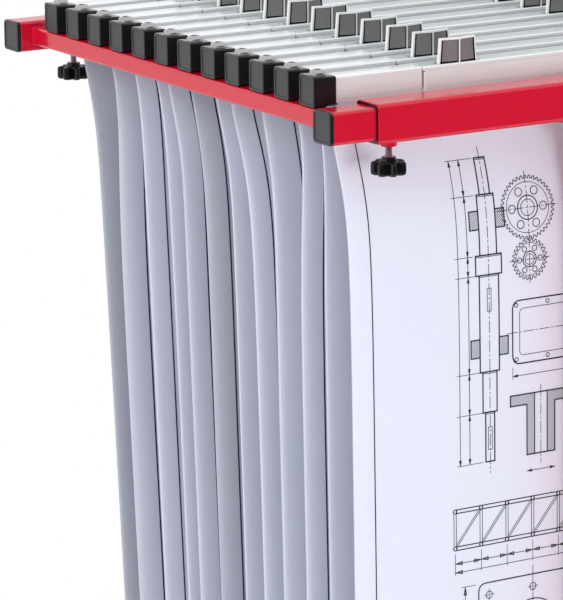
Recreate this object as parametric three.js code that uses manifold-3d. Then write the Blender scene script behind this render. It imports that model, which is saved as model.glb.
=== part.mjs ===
// Plan hanging rack: a telescoping tube frame on castors that carries plan clamps and their sheets.
// Millimetres, +Z up, +X along the clamps, +Y from the front rail to the rear rail, floor at Z = 0.
import * as THREE from 'three';
import { mergeVertices } from 'three/addons/utils/BufferGeometryUtils.js';
import Module from 'manifold-3d';

const wasm = await Module();
wasm.setup();

// Driving dimensions
const SHEET_WIDTH = 457;
const SHEET_LENGTH = 610;
const CLAMP_COUNT = 12;
const CLAMP_PITCH = 41;
const CLAMP_LENGTH = 514;
const RAIL_SPACING = 550;
const RAIL_HEIGHT = 1165;
const GAP = 0.3;

// Rails and ends
const OUTER = { size: 34, wall: 2.4, round: 4, length: 456 };
const INNER = { size: 28, wall: 2, round: 3.5, length: 250 };
const INNER_SHOWN = 45;
const PLUG = { flange: 3.5, bevel: 0.9, shank: 14, play: 0.35 };
const END_BAR = { size: 16, wall: 1.5, round: 2.5, inset: 16 };
const RACK_HALF = OUTER.length / 2 + INNER_SHOWN;
const FRONT_Y = -RAIL_SPACING / 2;
const REAR_Y = RAIL_SPACING / 2;

// Lock knobs
const LOCK_X = OUTER.length / 2 - 20;
const BOSS = { radius: 7, height: 5, hole: 3.45 };
const KNOB = { radius: 15.2, lobes: 7, dip: 3.6, height: 12, bevel: 2, collar: 7, collarHeight: 3.5 };
const STUD = { radius: 3, drop: 32 };

// Stand
const UPRIGHT = { size: 30, wall: 2, round: 3.5, plate: 66, plateThick: 5, gusset: 15, gussetThick: 4 };
const BASE_RAIL = { size: 34, wall: 2.4, round: 4, length: 560, bottom: 100 };
const BASE_TOP = BASE_RAIL.bottom + BASE_RAIL.size;

// Castors
const CASTOR_X = 246;
const WHEEL = { radius: 37.5, width: 24, hubWidth: 27, hub: 15, rim: 27, web: 14, bore: 4.4 };
const WHEEL_SIDES = 20;
const FORK = { trail: 24, leg: 3, inside: 15, head: 22, crownTop: 92, tip: 11 };
const AXLE = { radius: 4, nut: 7, nutThick: 4 };

// Plan clamps, with heights measured from the rail axis
const BAR = { half: 10.7, bottom: 10.2, top: 32.6, chamfer: 3, round: 1.2, groove: 1.1, grooveY: 3.4 };
const SLOT = { jaw: -2.2, back: 1.7, top: 26.8, flare: 1.2 };
const SEAM_X = 149;
const SEAM = { half: 0.5, depth: 1.2 };
const JAW = { top: 28.4, chamfer: 1.6, play: 0.7 };
const CAP = { length: 22, half: 12.2, top: 34.9, taper: 1.2, wall: 3.2, round: 2.4, lip: 4, lipHalf: 7.2 };
const CAP_BOTTOM = END_BAR.size / 2 + GAP;
const WING = { x: 111, half: 20.5, shoulder: 17.5, foot: 28.7, top: 53.5, ridge: 3, thick: 1.9, y: -4.4 };
const WING_SLOT = { half: 23, front: -8.2, back: 1.2 };
const SPRING = { half: 22, bottom: 21.5, top: 26.2, strip: 0.7 };

// Plan sets
const PLAN = { thick: 2.4, y: -0.25, top: 20, jawLine: 8, reach: 62, steps: 16 };
const PLAN_BOW = { front: 19, rear: 26 };
const PLAN_LEAN = { front: 0.008, rear: 0.075 };

// Finishes
const RED = { color: 0xd22035, roughness: 0.38, metalness: 0.1 };
const BLACK = { color: 0x1c1c1e, roughness: 0.45, metalness: 0 };
const ALUMINIUM = { color: 0xc9cccc, roughness: 0.32, metalness: 0.9 };
const WING_GREY = { color: 0x8d9192, roughness: 0.4, metalness: 0.7 };
const STEEL = { color: 0xb4b7ba, roughness: 0.3, metalness: 0.95 };
const TYRE = { color: 0x55575a, roughness: 0.7, metalness: 0 };
const PAPER = { color: 0xe4e7ef, roughness: 0.85, metalness: 0 };

const X_AXIS = new THREE.Vector3(1, 0, 0);
const Y_AXIS = new THREE.Vector3(0, 1, 0);
const Z_AXIS = new THREE.Vector3(0, 0, 1);

// Turns a section drawn as (Y, Z) and extruded upwards into a piece that runs along X.
function alongX(geometry) {
  return geometry.applyMatrix4(new THREE.Matrix4().makeBasis(Y_AXIS, Z_AXIS, X_AXIS));
}

// Turns a section drawn as (Z, X) and extruded upwards into a piece that runs along Y.
function alongY(geometry) {
  return geometry.applyMatrix4(new THREE.Matrix4().makeBasis(Z_AXIS, X_AXIS, Y_AXIS));
}

function solidOf(geometry) {
  const bare = geometry.index ? geometry.toNonIndexed() : geometry.clone();
  bare.deleteAttribute('normal');
  bare.deleteAttribute('uv');
  const merged = mergeVertices(bare, 1e-4);
  const mesh = new wasm.Mesh({
    numProp: 3,
    vertProperties: new Float32Array(merged.attributes.position.array),
    triVerts: new Uint32Array(merged.index.array),
  });
  return new wasm.Manifold(mesh);
}

function geometryOf(solid) {
  const mesh = solid.getMesh();
  const geometry = new THREE.BufferGeometry();
  geometry.setAttribute('position', new THREE.BufferAttribute(new Float32Array(mesh.vertProperties), 3));
  geometry.setIndex(new THREE.BufferAttribute(new Uint32Array(mesh.triVerts), 1));
  return geometry;
}

function join(...pieces) {
  return pieces.map(solidOf).reduce((whole, piece) => whole.add(piece));
}

function cut(solid, ...tools) {
  return tools.map(solidOf).reduce((rest, tool) => rest.subtract(tool), solid);
}

function boxBetween(low, high) {
  const size = new THREE.Vector3().subVectors(high, low);
  const middle = new THREE.Vector3().addVectors(low, high).multiplyScalar(0.5);
  return new THREE.BoxGeometry(size.x, size.y, size.z).translate(middle.x, middle.y, middle.z);
}

function roundedSquare(size, round, path = new THREE.Shape()) {
  const reach = size / 2 - round;
  const corners = [[1, 1], [-1, 1], [-1, -1], [1, -1]];
  corners.forEach(([u, v], index) => {
    const start = (index * Math.PI) / 2;
    path.absarc(u * reach, v * reach, round, start, start + Math.PI / 2, false);
  });
  path.closePath();
  return path;
}

function polygon(points) {
  return new THREE.Shape(points.map(([u, v]) => new THREE.Vector2(u, v)));
}

// A square tube standing on Z = 0 and rising by its length.
function squareTube({ size, wall, round }, length) {
  const section = roundedSquare(size, round);
  section.holes.push(roundedSquare(size - 2 * wall, Math.max(round - wall, 0.6), new THREE.Path()));
  return new THREE.ExtrudeGeometry(section, { depth: length, bevelEnabled: false, curveSegments: 1 });
}

function uprightCylinder(radius, bottom, top, sides = 14) {
  return new THREE.CylinderGeometry(radius, radius, top - bottom, sides)
    .rotateX(Math.PI / 2)
    .translate(0, 0, (bottom + top) / 2);
}

function outerTube() {
  const tube = alongX(squareTube(OUTER, OUTER.length)).translate(-OUTER.length / 2, 0, 0);
  const bottom = -OUTER.size / 2;
  const bosses = [-LOCK_X, LOCK_X].map((x) =>
    uprightCylinder(BOSS.radius, bottom - BOSS.height, bottom + OUTER.wall / 2).translate(x, 0, 0));
  const holes = [-LOCK_X, LOCK_X].map((x) =>
    uprightCylinder(BOSS.hole, bottom - BOSS.height - 1, bottom + OUTER.wall + 1).translate(x, 0, 0));
  return geometryOf(cut(join(tube, ...bosses), ...holes));
}

function innerTube() {
  const start = -RACK_HALF + PLUG.flange + GAP;
  return alongX(squareTube(INNER, INNER.length)).translate(start, 0, 0);
}

// A plastic plug: an eased flange over the tube's end and a shank inside it.
function tubePlug() {
  const { flange, bevel, shank, play } = PLUG;
  const cover = new THREE.ExtrudeGeometry(roundedSquare(INNER.size - 2 * bevel, INNER.round - bevel), {
    depth: flange - 2 * bevel, bevelEnabled: true, bevelThickness: bevel, bevelSize: bevel, bevelSegments: 1,
    curveSegments: 1,
  }).translate(0, 0, bevel);
  const shankSize = INNER.size - 2 * INNER.wall - 2 * play;
  const plug = new THREE.ExtrudeGeometry(roundedSquare(shankSize, INNER.round), {
    depth: shank + 1, bevelEnabled: false, curveSegments: 1,
  }).translate(0, 0, flange - 1);
  return alongX(geometryOf(join(cover, plug))).translate(-RACK_HALF, 0, 0);
}

function endBar() {
  const length = RAIL_SPACING - INNER.size - 2 * GAP;
  const x = -RACK_HALF + END_BAR.inset + END_BAR.size / 2;
  return alongY(squareTube(END_BAR, length)).translate(x, -length / 2, 0);
}

// The star outline dips between its lobes as a raised cosine.
function starOutline(radius) {
  const stepsPerLobe = 5;
  const count = KNOB.lobes * stepsPerLobe;
  const points = Array.from({ length: count }, (_, index) => {
    const turn = (index / count) * 2 * Math.PI;
    const reach = radius - (KNOB.dip * (1 - Math.cos(KNOB.lobes * turn))) / 2;
    return [reach * Math.cos(turn), reach * Math.sin(turn)];
  });
  return polygon(points);
}

function lockKnob() {
  const knobTop = -STUD.drop;
  const body = new THREE.ExtrudeGeometry(starOutline(KNOB.radius - KNOB.bevel), {
    depth: KNOB.height - KNOB.bevel, bevelEnabled: true, bevelThickness: KNOB.bevel, bevelSize: KNOB.bevel,
    bevelSegments: 1, curveSegments: 1,
  }).translate(0, 0, knobTop - KNOB.height);
  const collar = uprightCylinder(KNOB.collar, knobTop - 1, knobTop + KNOB.collarHeight);
  const tip = -INNER.size / 2 - GAP;
  const stud = uprightCylinder(STUD.radius, knobTop - 1, tip, 12);
  return geometryOf(join(body, collar, stud));
}

// A triangular web between the tube and its end plate, in the XZ plane.
function gussetPlate(side, plateZ, towards) {
  const root = side * (UPRIGHT.size / 2 - 1);
  const tip = side * (UPRIGHT.size / 2 + UPRIGHT.gusset);
  const outline = polygon([[root, plateZ], [tip, plateZ], [root, plateZ + towards * UPRIGHT.gusset]]);
  return new THREE.ExtrudeGeometry(outline, { depth: UPRIGHT.gussetThick, bevelEnabled: false })
    .translate(0, 0, -UPRIGHT.gussetThick / 2)
    .rotateX(Math.PI / 2);
}

function upright() {
  const bottom = BASE_TOP + GAP;
  const top = RAIL_HEIGHT - OUTER.size / 2 - GAP;
  const tube = squareTube(UPRIGHT, top - bottom).translate(0, 0, bottom);
  const half = UPRIGHT.plate / 2;
  const depth = UPRIGHT.size / 2;
  const levels = [[bottom, bottom + UPRIGHT.plateThick, 1], [top - UPRIGHT.plateThick, top, -1]];
  const welds = levels.flatMap(([low, high, towards]) => [
    boxBetween(new THREE.Vector3(-half, -depth, low), new THREE.Vector3(half, depth, high)),
    gussetPlate(-1, towards > 0 ? high - 1 : low + 1, towards),
    gussetPlate(1, towards > 0 ? high - 1 : low + 1, towards),
  ]);
  const bore = UPRIGHT.size / 2 - UPRIGHT.wall;
  const hollow = boxBetween(new THREE.Vector3(-bore, -bore, bottom - 1),
    new THREE.Vector3(bore, bore, top + 1));
  return geometryOf(cut(join(tube, ...welds), hollow));
}

function baseRail() {
  return alongX(squareTube(BASE_RAIL, BASE_RAIL.length))
    .translate(-BASE_RAIL.length / 2, 0, BASE_RAIL.bottom + BASE_RAIL.size / 2);
}

function baseCrossTube() {
  const length = RAIL_SPACING - BASE_RAIL.size - 2 * GAP;
  const middle = BASE_RAIL.bottom + BASE_RAIL.size / 2;
  return alongY(squareTube(BASE_RAIL, length)).translate(0, -length / 2, middle);
}

// One cheek of the fork: broad under the swivel head, tapering to a round end at the axle.
function forkLeg(side) {
  const outline = new THREE.Shape();
  outline.moveTo(-FORK.head + 3, FORK.crownTop);
  outline.lineTo(-FORK.head + 6, FORK.crownTop - 8);
  outline.lineTo(FORK.trail - FORK.tip, WHEEL.radius);
  outline.absarc(FORK.trail, WHEEL.radius, FORK.tip, Math.PI, 2 * Math.PI, false);
  outline.lineTo(FORK.head + 4, FORK.crownTop - 14);
  outline.lineTo(FORK.head - 3, FORK.crownTop);
  outline.closePath();
  const near = side > 0 ? FORK.inside + FORK.leg : -FORK.inside;
  return new THREE.ExtrudeGeometry(outline, { depth: FORK.leg, bevelEnabled: false, curveSegments: 3 })
    .rotateX(Math.PI / 2)
    .translate(0, near, 0);
}

function castorFork() {
  const headTop = BASE_RAIL.bottom - GAP;
  const reach = FORK.inside + FORK.leg;
  const crown = boxBetween(new THREE.Vector3(-FORK.head + 3, -reach, FORK.crownTop - FORK.leg),
    new THREE.Vector3(FORK.head - 3, reach, FORK.crownTop));
  const race = uprightCylinder(FORK.head - 4, FORK.crownTop - 1, headTop - 3, 16);
  const head = uprightCylinder(FORK.head, headTop - 4, headTop, 16);
  const axleEnd = reach + AXLE.nutThick;
  const axle = uprightCylinder(AXLE.radius, -axleEnd, axleEnd, 10)
    .rotateX(Math.PI / 2)
    .translate(FORK.trail, 0, WHEEL.radius);
  const nuts = [-1, 1].map((side) => uprightCylinder(AXLE.nut, -AXLE.nutThick / 2, AXLE.nutThick / 2, 6)
    .rotateX(Math.PI / 2)
    .translate(FORK.trail, side * (reach + AXLE.nutThick / 2 - 0.2), WHEEL.radius));
  return geometryOf(join(crown, race, head, forkLeg(-1), forkLeg(1), axle, ...nuts));
}

// The wheel's facets are laid so that a flat one meets the floor.
function castorWheel() {
  const { width, hubWidth, hub, rim, web, bore } = WHEEL;
  const tread = WHEEL.radius / Math.cos(Math.PI / WHEEL_SIDES);
  const half = [
    [bore, hubWidth / 2], [hub, hubWidth / 2], [hub + 1.5, web / 2], [rim - 1.5, web / 2], [rim, width / 2],
    [tread - 3, width / 2], [tread, width / 2 - 6],
  ];
  const other = half.map(([r, h]) => [r, -h]).reverse();
  const loop = [...half, ...other, half[0]].map(([r, h]) => new THREE.Vector2(r, h));
  return new THREE.LatheGeometry(loop.reverse(), WHEEL_SIDES, Math.PI / WHEEL_SIDES)
    .translate(FORK.trail, 0, WHEEL.radius);
}

// The channel section as (Y, Z): two legs, a sheet slot between them and a groove along the top.
function channelSection() {
  const { half, bottom, top, chamfer, groove, grooveY } = BAR;
  return polygon([
    [-half, bottom + chamfer], [-half + chamfer, bottom], [SLOT.jaw - SLOT.flare, bottom],
    [SLOT.jaw, bottom + SLOT.flare], [SLOT.jaw, SLOT.top], [SLOT.back, SLOT.top],
    [SLOT.back, bottom + SLOT.flare], [SLOT.back + SLOT.flare, bottom], [half - chamfer, bottom],
    [half, bottom + chamfer], [half, top - BAR.round], [half - BAR.round, top],
    [grooveY + groove, top], [grooveY + groove, top - groove], [grooveY - groove, top - groove],
    [grooveY - groove, top], [-half + BAR.round, top], [-half, top - BAR.round],
  ]);
}

// The moving jaw's section: the front leg with its upper edge eased so that it can swing open.
function jawSection() {
  const { half, bottom, chamfer } = BAR;
  return polygon([
    [-half, bottom + chamfer], [-half + chamfer, bottom], [SLOT.jaw - SLOT.flare, bottom],
    [SLOT.jaw, bottom + SLOT.flare], [SLOT.jaw, JAW.top], [-half + JAW.chamfer, JAW.top],
    [-half, JAW.top - JAW.chamfer],
  ]);
}

function extrudeX(section, from, to) {
  const settings = { depth: to - from, bevelEnabled: false, curveSegments: 1 };
  return alongX(new THREE.ExtrudeGeometry(section, settings)).translate(from, 0, 0);
}

function channelBar() {
  const reach = CLAMP_LENGTH / 2 - CAP.wall - GAP;
  return extrudeX(channelSection(), -reach, reach);
}

// A folded tab: two panels that meet at a ridge and narrow towards the top.
function wingTab(side, foot) {
  const { half, ridge, thick } = WING;
  const plan = polygon([
    [-half, 0], [0, -ridge], [half, 0], [half, thick], [0, thick - ridge], [-half, thick],
  ]);
  const height = WING.top - foot;
  const geometry = new THREE.ExtrudeGeometry(plan, { depth: height, steps: 2, bevelEnabled: false });
  const position = geometry.attributes.position;
  const narrowing = 1 - WING.shoulder / half;
  for (let index = 0; index < position.count; index += 1) {
    const rise = position.getZ(index) / height;
    position.setX(index, position.getX(index) * (1 - narrowing * Math.sqrt(rise)));
  }
  return geometry.translate(side * WING.x, WING.y, foot);
}

// The outside of a cap as (Y, Z): a rounded block whose lower corners are rounder than the upper ones.
function capSection() {
  const { half, top, round } = CAP;
  const low = round * 1.6;
  const shape = new THREE.Shape();
  shape.absarc(half - round, top - round, round, 0, Math.PI / 2, false);
  shape.absarc(-half + round, top - round, round, Math.PI / 2, Math.PI, false);
  shape.absarc(-half + low, CAP_BOTTOM + low, low, Math.PI, 1.5 * Math.PI, false);
  shape.absarc(half - low, CAP_BOTTOM + low, low, 1.5 * Math.PI, 2 * Math.PI, false);
  shape.closePath();
  return shape;
}

// The cap's outside, tallest at its outer end.
function capBlock() {
  const outer = -CLAMP_LENGTH / 2;
  const block = extrudeX(capSection(), outer, outer + CAP.length);
  const position = block.attributes.position;
  const middle = (CAP_BOTTOM + CAP.top) / 2;
  for (let index = 0; index < position.count; index += 1) {
    const along = (position.getX(index) - outer) / CAP.length;
    if (position.getZ(index) > middle) position.setZ(index, position.getZ(index) - CAP.taper * along);
  }
  return block;
}

// A short lip that runs on under the bar from the cap's inner end.
function capLip(top) {
  const start = -CLAMP_LENGTH / 2 + CAP.length;
  return boxBetween(new THREE.Vector3(start - 1, -CAP.lipHalf, CAP_BOTTOM),
    new THREE.Vector3(start + CAP.lip, CAP.lipHalf, top));
}

// A sleeve cap with the pocket that takes the end of the bar.
function sleeveCap() {
  const outer = -CLAMP_LENGTH / 2;
  const pocket = boxBetween(
    new THREE.Vector3(outer + CAP.wall, -BAR.half - GAP, BAR.bottom - GAP),
    new THREE.Vector3(outer + CAP.length + CAP.lip + 1, BAR.half + GAP, BAR.top + GAP));
  return geometryOf(cut(join(capBlock(), capLip(BAR.bottom - GAP)), pocket));
}

// Left pieces stay as drawn, and right pieces are their mirror images.
function asDrawn(geometry) {
  return geometry;
}

function mirrorX(geometry) {
  return geometryOf(solidOf(geometry).mirror([1, 0, 0]));
}

// A clamp whose caps and tabs are joined to its bar, with shallow seams where its jaw begins.
function wholeClamp() {
  const cap = geometryOf(join(capBlock(), capLip(BAR.bottom + 0.5)));
  const wings = [-1, 1].map((side) => wingTab(side, BAR.top - 1));
  const seams = [-1, 1].map((side) => boxBetween(
    new THREE.Vector3(side * SEAM_X - SEAM.half, -BAR.half - 1, BAR.bottom - 1),
    new THREE.Vector3(side * SEAM_X + SEAM.half, -BAR.half + SEAM.depth, BAR.top - 1)));
  return geometryOf(cut(join(channelBar(), cap, mirrorX(cap), ...wings), ...seams));
}

// The fixed rail of the front clamp: the channel without its middle front leg, slotted for the tabs.
function clampRail() {
  const jawRoom = boxBetween(new THREE.Vector3(-SEAM_X, -BAR.half - 1, BAR.bottom - 1),
    new THREE.Vector3(SEAM_X, SLOT.jaw + 0.01, JAW.top + JAW.play));
  const slotTop = boxBetween(new THREE.Vector3(-SEAM_X, SLOT.jaw - 0.01, SLOT.top - 1),
    new THREE.Vector3(SEAM_X, SLOT.back, JAW.top + JAW.play));
  const wingSlots = [-1, 1].map((side) => boxBetween(
    new THREE.Vector3(side * WING.x - WING_SLOT.half, WING_SLOT.front, JAW.top),
    new THREE.Vector3(side * WING.x + WING_SLOT.half, WING_SLOT.back, BAR.top + 1)));
  return geometryOf(cut(solidOf(channelBar()), jawRoom, slotTop, ...wingSlots));
}

function clampJaw() {
  return extrudeX(jawSection(), -SEAM_X + GAP, SEAM_X - GAP);
}

// A bent strip that presses the jaw shut, seated between the jaw's back and the fixed leg.
function jawSpring(side) {
  const { half, bottom, top, strip } = SPRING;
  const front = SLOT.jaw + GAP;
  const back = SLOT.back - GAP;
  const section = polygon([
    [front, bottom], [front + strip, bottom], [(front + back) / 2, top - strip], [back - strip, bottom],
    [back, bottom], [(front + back) / 2 + strip, top], [(front + back) / 2 - strip, top],
  ]);
  return extrudeX(section, side * WING.x - half, side * WING.x + half);
}

// How far forward a plan set has bowed at a depth below the jaws; rank runs from 0 at the front to 1.
function planOffset(depth, rank, number) {
  if (depth <= 0) return 0;
  const uneven = 3 * Math.sin(2.4 * number);
  const bow = THREE.MathUtils.lerp(PLAN_BOW.front, PLAN_BOW.rear, rank) + uneven * Math.sign(rank);
  const lean = THREE.MathUtils.lerp(PLAN_LEAN.front, PLAN_LEAN.rear, rank);
  return -bow * (1 - Math.exp(-((depth / PLAN.reach) ** 2))) - lean * depth;
}

// A plan set: a thin slab whose side outline follows the bow of the hanging sheets.
function planSet(rank, number) {
  const bottom = PLAN.top - SHEET_LENGTH;
  const heights = [PLAN.top];
  for (let step = 0; step <= PLAN.steps; step += 1) {
    heights.push(THREE.MathUtils.lerp(PLAN.jawLine, bottom, (step / PLAN.steps) ** 1.8));
  }
  const edge = (side) => heights.map((z) => [
    PLAN.y + (side * PLAN.thick) / 2 + planOffset(PLAN.jawLine - z, rank, number), z]);
  const outline = polygon([...edge(-1), ...edge(1).reverse()]);
  return extrudeX(outline, -SHEET_WIDTH / 2, SHEET_WIDTH / 2);
}

const rack = new THREE.Group();

function addPiece(parent, name, geometry, finish) {
  const mesh = new THREE.Mesh(geometry, new THREE.MeshStandardMaterial(finish));
  mesh.name = name;
  parent.add(mesh);
}

function groupAt(x, y, z) {
  const group = new THREE.Group();
  group.position.set(x, y, z);
  rack.add(group);
  return group;
}

function addStand() {
  for (const [label, y] of [['front', FRONT_Y], ['rear', REAR_Y]]) {
    addPiece(groupAt(0, y, RAIL_HEIGHT), `${label}_outer_tube`, outerTube(), RED);
    addPiece(groupAt(0, y, 0), `${label}_upright`, upright(), RED);
    addPiece(groupAt(0, y, 0), `${label}_base_rail`, baseRail(), RED);
  }
  addPiece(rack, 'base_cross_tube', baseCrossTube(), RED);
}

function addEnds() {
  for (const [end, side, turned] of [['left', -1, asDrawn], ['right', 1, mirrorX]]) {
    for (const [label, y] of [['front', FRONT_Y], ['rear', REAR_Y]]) {
      const rail = groupAt(0, y, RAIL_HEIGHT);
      addPiece(rail, `${end}_${label}_inner_tube`, turned(innerTube()), RED);
      addPiece(rail, `${end}_${label}_tube_plug`, turned(tubePlug()), BLACK);
      addPiece(groupAt(side * LOCK_X, y, RAIL_HEIGHT), `${end}_${label}_lock_knob`, lockKnob(), BLACK);
    }
    addPiece(groupAt(0, 0, RAIL_HEIGHT), `${end}_end_bar`, turned(endBar()), RED);
  }
}

function addCastors() {
  for (const [end, x, turned] of [['left', -CASTOR_X, asDrawn], ['right', CASTOR_X, mirrorX]]) {
    for (const [label, y] of [['front', FRONT_Y], ['rear', REAR_Y]]) {
      const castor = groupAt(x, y, 0);
      addPiece(castor, `${end}_${label}_castor_fork`, turned(castorFork()), STEEL);
      addPiece(castor, `${end}_${label}_castor_wheel`, turned(castorWheel()), TYRE);
    }
  }
}

// The front clamp in its own pieces.
function addFrontClamp(clamp, label) {
  addPiece(clamp, `${label}_rail`, clampRail(), ALUMINIUM);
  addPiece(clamp, `${label}_jaw`, clampJaw(), ALUMINIUM);
  addPiece(clamp, `${label}_left_cap`, sleeveCap(), BLACK);
  addPiece(clamp, `${label}_right_cap`, mirrorX(sleeveCap()), BLACK);
  for (const [end, side] of [['left', -1], ['right', 1]]) {
    addPiece(clamp, `${label}_${end}_wing`, wingTab(side, WING.foot), WING_GREY);
    addPiece(clamp, `${label}_${end}_jaw_spring`, jawSpring(side), STEEL);
  }
}

function addClamps() {
  const firstY = (-CLAMP_PITCH * (CLAMP_COUNT - 1)) / 2;
  for (let number = 1; number <= CLAMP_COUNT; number += 1) {
    const label = String(number).padStart(2, '0');
    const clamp = groupAt(0, firstY + (number - 1) * CLAMP_PITCH, RAIL_HEIGHT);
    if (number === 1) addFrontClamp(clamp, 'clamp_01');
    else addPiece(clamp, `clamp_${label}`, wholeClamp(), ALUMINIUM);
    addPiece(clamp, `plan_set_${label}`, planSet((number - 1) / (CLAMP_COUNT - 1), number), PAPER);
  }
}

addStand();
addEnds();
addCastors();
addClamps();

export default rack;
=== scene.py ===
"""Plan hanging rack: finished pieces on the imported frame, with its floor, light and camera."""

import logging
import math
from collections.abc import Callable, Sequence
from dataclasses import dataclass, field
from enum import Enum
from functools import partial

import bmesh
import bpy
from bpy.types import ID, Material, Mesh, Node, NodeOutputs, NodeSocket, NodeTree, Object
from mathutils import Matrix, Vector


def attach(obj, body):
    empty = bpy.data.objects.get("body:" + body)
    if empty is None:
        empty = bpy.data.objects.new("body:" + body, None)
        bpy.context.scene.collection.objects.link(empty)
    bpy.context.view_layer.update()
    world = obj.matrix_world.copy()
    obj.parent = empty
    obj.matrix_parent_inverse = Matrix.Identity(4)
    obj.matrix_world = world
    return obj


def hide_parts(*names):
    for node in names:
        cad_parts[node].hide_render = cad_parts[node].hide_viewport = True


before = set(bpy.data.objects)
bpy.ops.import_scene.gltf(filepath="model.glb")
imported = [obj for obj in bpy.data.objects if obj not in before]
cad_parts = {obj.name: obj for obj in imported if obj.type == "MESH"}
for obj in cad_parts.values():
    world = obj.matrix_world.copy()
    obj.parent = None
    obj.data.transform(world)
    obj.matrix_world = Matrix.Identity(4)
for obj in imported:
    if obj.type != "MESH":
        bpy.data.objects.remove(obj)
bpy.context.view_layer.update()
log = logging.getLogger("plan_rack")

Point = tuple[float, float, float]
Flat = tuple[float, float]
Outline = Sequence[Flat]
Profile = tuple[Flat, ...]
Values = dict[str | int, object]

# Sizes that several pieces share, in millimetres
MM = 0.001
RAIL_HEIGHT = 1165.0
LOCK_X = 208.0
PLUG_FLANGE = 3.5
WELD_GAP = 0.3
MOUTH_LIP = 0.5
BORE_CORNER = 0.8
CLAMP_COUNT = 12
CLAMP_PITCH = 41.0
ROWS = {"front": -275.0, "rear": 275.0}
ENDS = {"left": -1, "right": 1}
CORNERS = [(f"{end}_{row}", side, y) for end, side in ENDS.items() for row, y in ROWS.items()]

ORIGIN = (0.0, 0.0, 0.0)
SMOOTH_ANGLE = math.radians(38)
FULL_TURN = 2 * math.pi


class Axis(Enum):
    """The rack's directions, by the places of a section's two axes and of its travel."""

    X = (1, 2, 0)
    Y = (0, 2, 1)
    Z = (0, 1, 2)

    def place(self, u: float, v: float, w: float) -> Point:
        """Puts section point (u, v) at station w."""
        spot = dict(zip(self.value, (u, v, w)))
        return (spot[0], spot[1], spot[2])

    def rings(self, stations: Sequence[tuple[Outline, float]]) -> list[list[Point]]:
        """Stands outlines along the axis, each at its own station."""
        return [[self.place(u, v, w) for u, v in outline] for outline, w in stations]


@dataclass(frozen=True)
class TubeSection:
    """A square tube's section: half its size, its wall and its corner radius."""

    half: float
    wall: float
    radius: float


def clamp_centre(number: int) -> float:
    """Returns the Y of a clamp and its plans, counted from the front."""
    return (number - 1 - (CLAMP_COUNT - 1) / 2) * CLAMP_PITCH


# Outlines

def rounded_ring(half_u: float, half_v: float, radius: float, steps: int = 4,
                 foot_radius: float | None = None) -> list[Flat]:
    """Draws a rectangle with round corners about the origin.

    Args:
        half_u: Half the width.
        half_v: Half the height.
        radius: Corner radius.
        steps: Facets in each corner.
        foot_radius: Radius of the two lower corners, where it differs.

    Returns:
        The corner points, anticlockwise.
    """
    foot = radius if foot_radius is None else foot_radius
    corners = ((1, 1, radius), (-1, 1, radius), (-1, -1, foot), (1, -1, foot))
    ring = []
    for quarter, (side_u, side_v, bend) in enumerate(corners):
        middle = (side_u * (half_u - bend), side_v * (half_v - bend))
        ring += [around(middle, bend, math.radians(90 * quarter + 90 * step / steps))
                 for step in range(steps + 1)]
    return ring


def shifted(outline: Outline, move_u: float, move_v: float) -> list[Flat]:
    """Returns an outline moved in its plane."""
    return [(u + move_u, v + move_v) for u, v in outline]


def square_ring(half: float, radius: float) -> list[Flat]:
    """Draws a square with round corners about the origin."""
    return rounded_ring(half, half, radius)


def box_outline(low: Flat, high: Flat) -> list[Flat]:
    """Returns the anticlockwise corners of an upright rectangle."""
    return [low, (high[0], low[1]), high, (low[0], high[1])]


def middle_of(low: Flat, high: Flat) -> Flat:
    """Returns the middle of an upright rectangle."""
    return ((low[0] + high[0]) / 2, (low[1] + high[1]) / 2)


def around(centre: Flat, radius: float, turn: float) -> Flat:
    """Returns the point of a circle at a turn in radians."""
    return (centre[0] + radius * math.cos(turn), centre[1] + radius * math.sin(turn))


def turns(count: int) -> list[float]:
    """Returns evenly spaced turns in radians, once round."""
    return [FULL_TURN * index / count for index in range(count)]


def soften(outline: Outline, cut: float, steps: int = 3) -> list[Flat]:
    """Rounds every corner of an outline.

    Args:
        outline: Anticlockwise corners.
        cut: How far along each edge the rounding starts.
        steps: Facets in each corner.

    Returns:
        The rounded outline.
    """
    largest = 0.45
    points = [Vector(corner) for corner in outline]
    softened = []
    for index, corner in enumerate(points):
        back = points[index - 1] - corner
        ahead = points[(index + 1) % len(points)] - corner
        start = corner + back * min(cut / back.length, largest)
        end = corner + ahead * min(cut / ahead.length, largest)
        for step in range(steps + 1):
            share = step / steps
            spot = start.lerp(corner, share).lerp(corner.lerp(end, share), share)
            softened.append((spot.x, spot.y))
    return softened


def facet_normals(outline: Outline) -> list[Flat]:
    """Finds which way the edges of an outline face.

    Args:
        outline: Anticlockwise corners.

    Returns:
        The outward normal of each edge.
    """
    normals = []
    for index, (u, v) in enumerate(outline):
        next_u, next_v = outline[(index + 1) % len(outline)]
        length = math.hypot(next_u - u, next_v - v) or 1.0
        normals.append(((next_v - v) / length, (u - next_u) / length))
    return normals


def inset(outline: Outline, distance: float) -> list[Flat]:
    """Moves every edge of an outline inwards.

    Args:
        outline: Anticlockwise corners.
        distance: How far the edges move.

    Returns:
        The smaller outline.
    """
    sharpest = 0.4
    normals = facet_normals(outline)
    moved = []
    for index, (u, v) in enumerate(outline):
        before, after = normals[index - 1], normals[index]
        spread = max(1 + before[0] * after[0] + before[1] * after[1], sharpest)
        moved.append((u - distance * (before[0] + after[0]) / spread,
                      v - distance * (before[1] + after[1]) / spread))
    return moved


def doubled(profile: Outline) -> list[Flat]:
    """Closes half a wheel's profile with its mirror image."""
    return [*profile, *((radius, -height) for radius, height in reversed(profile))]


def face_mark(span: int, index: int) -> int:
    """Marks the grained face and rim of a plug or cap."""
    return 1 if span < 3 else 0


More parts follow.
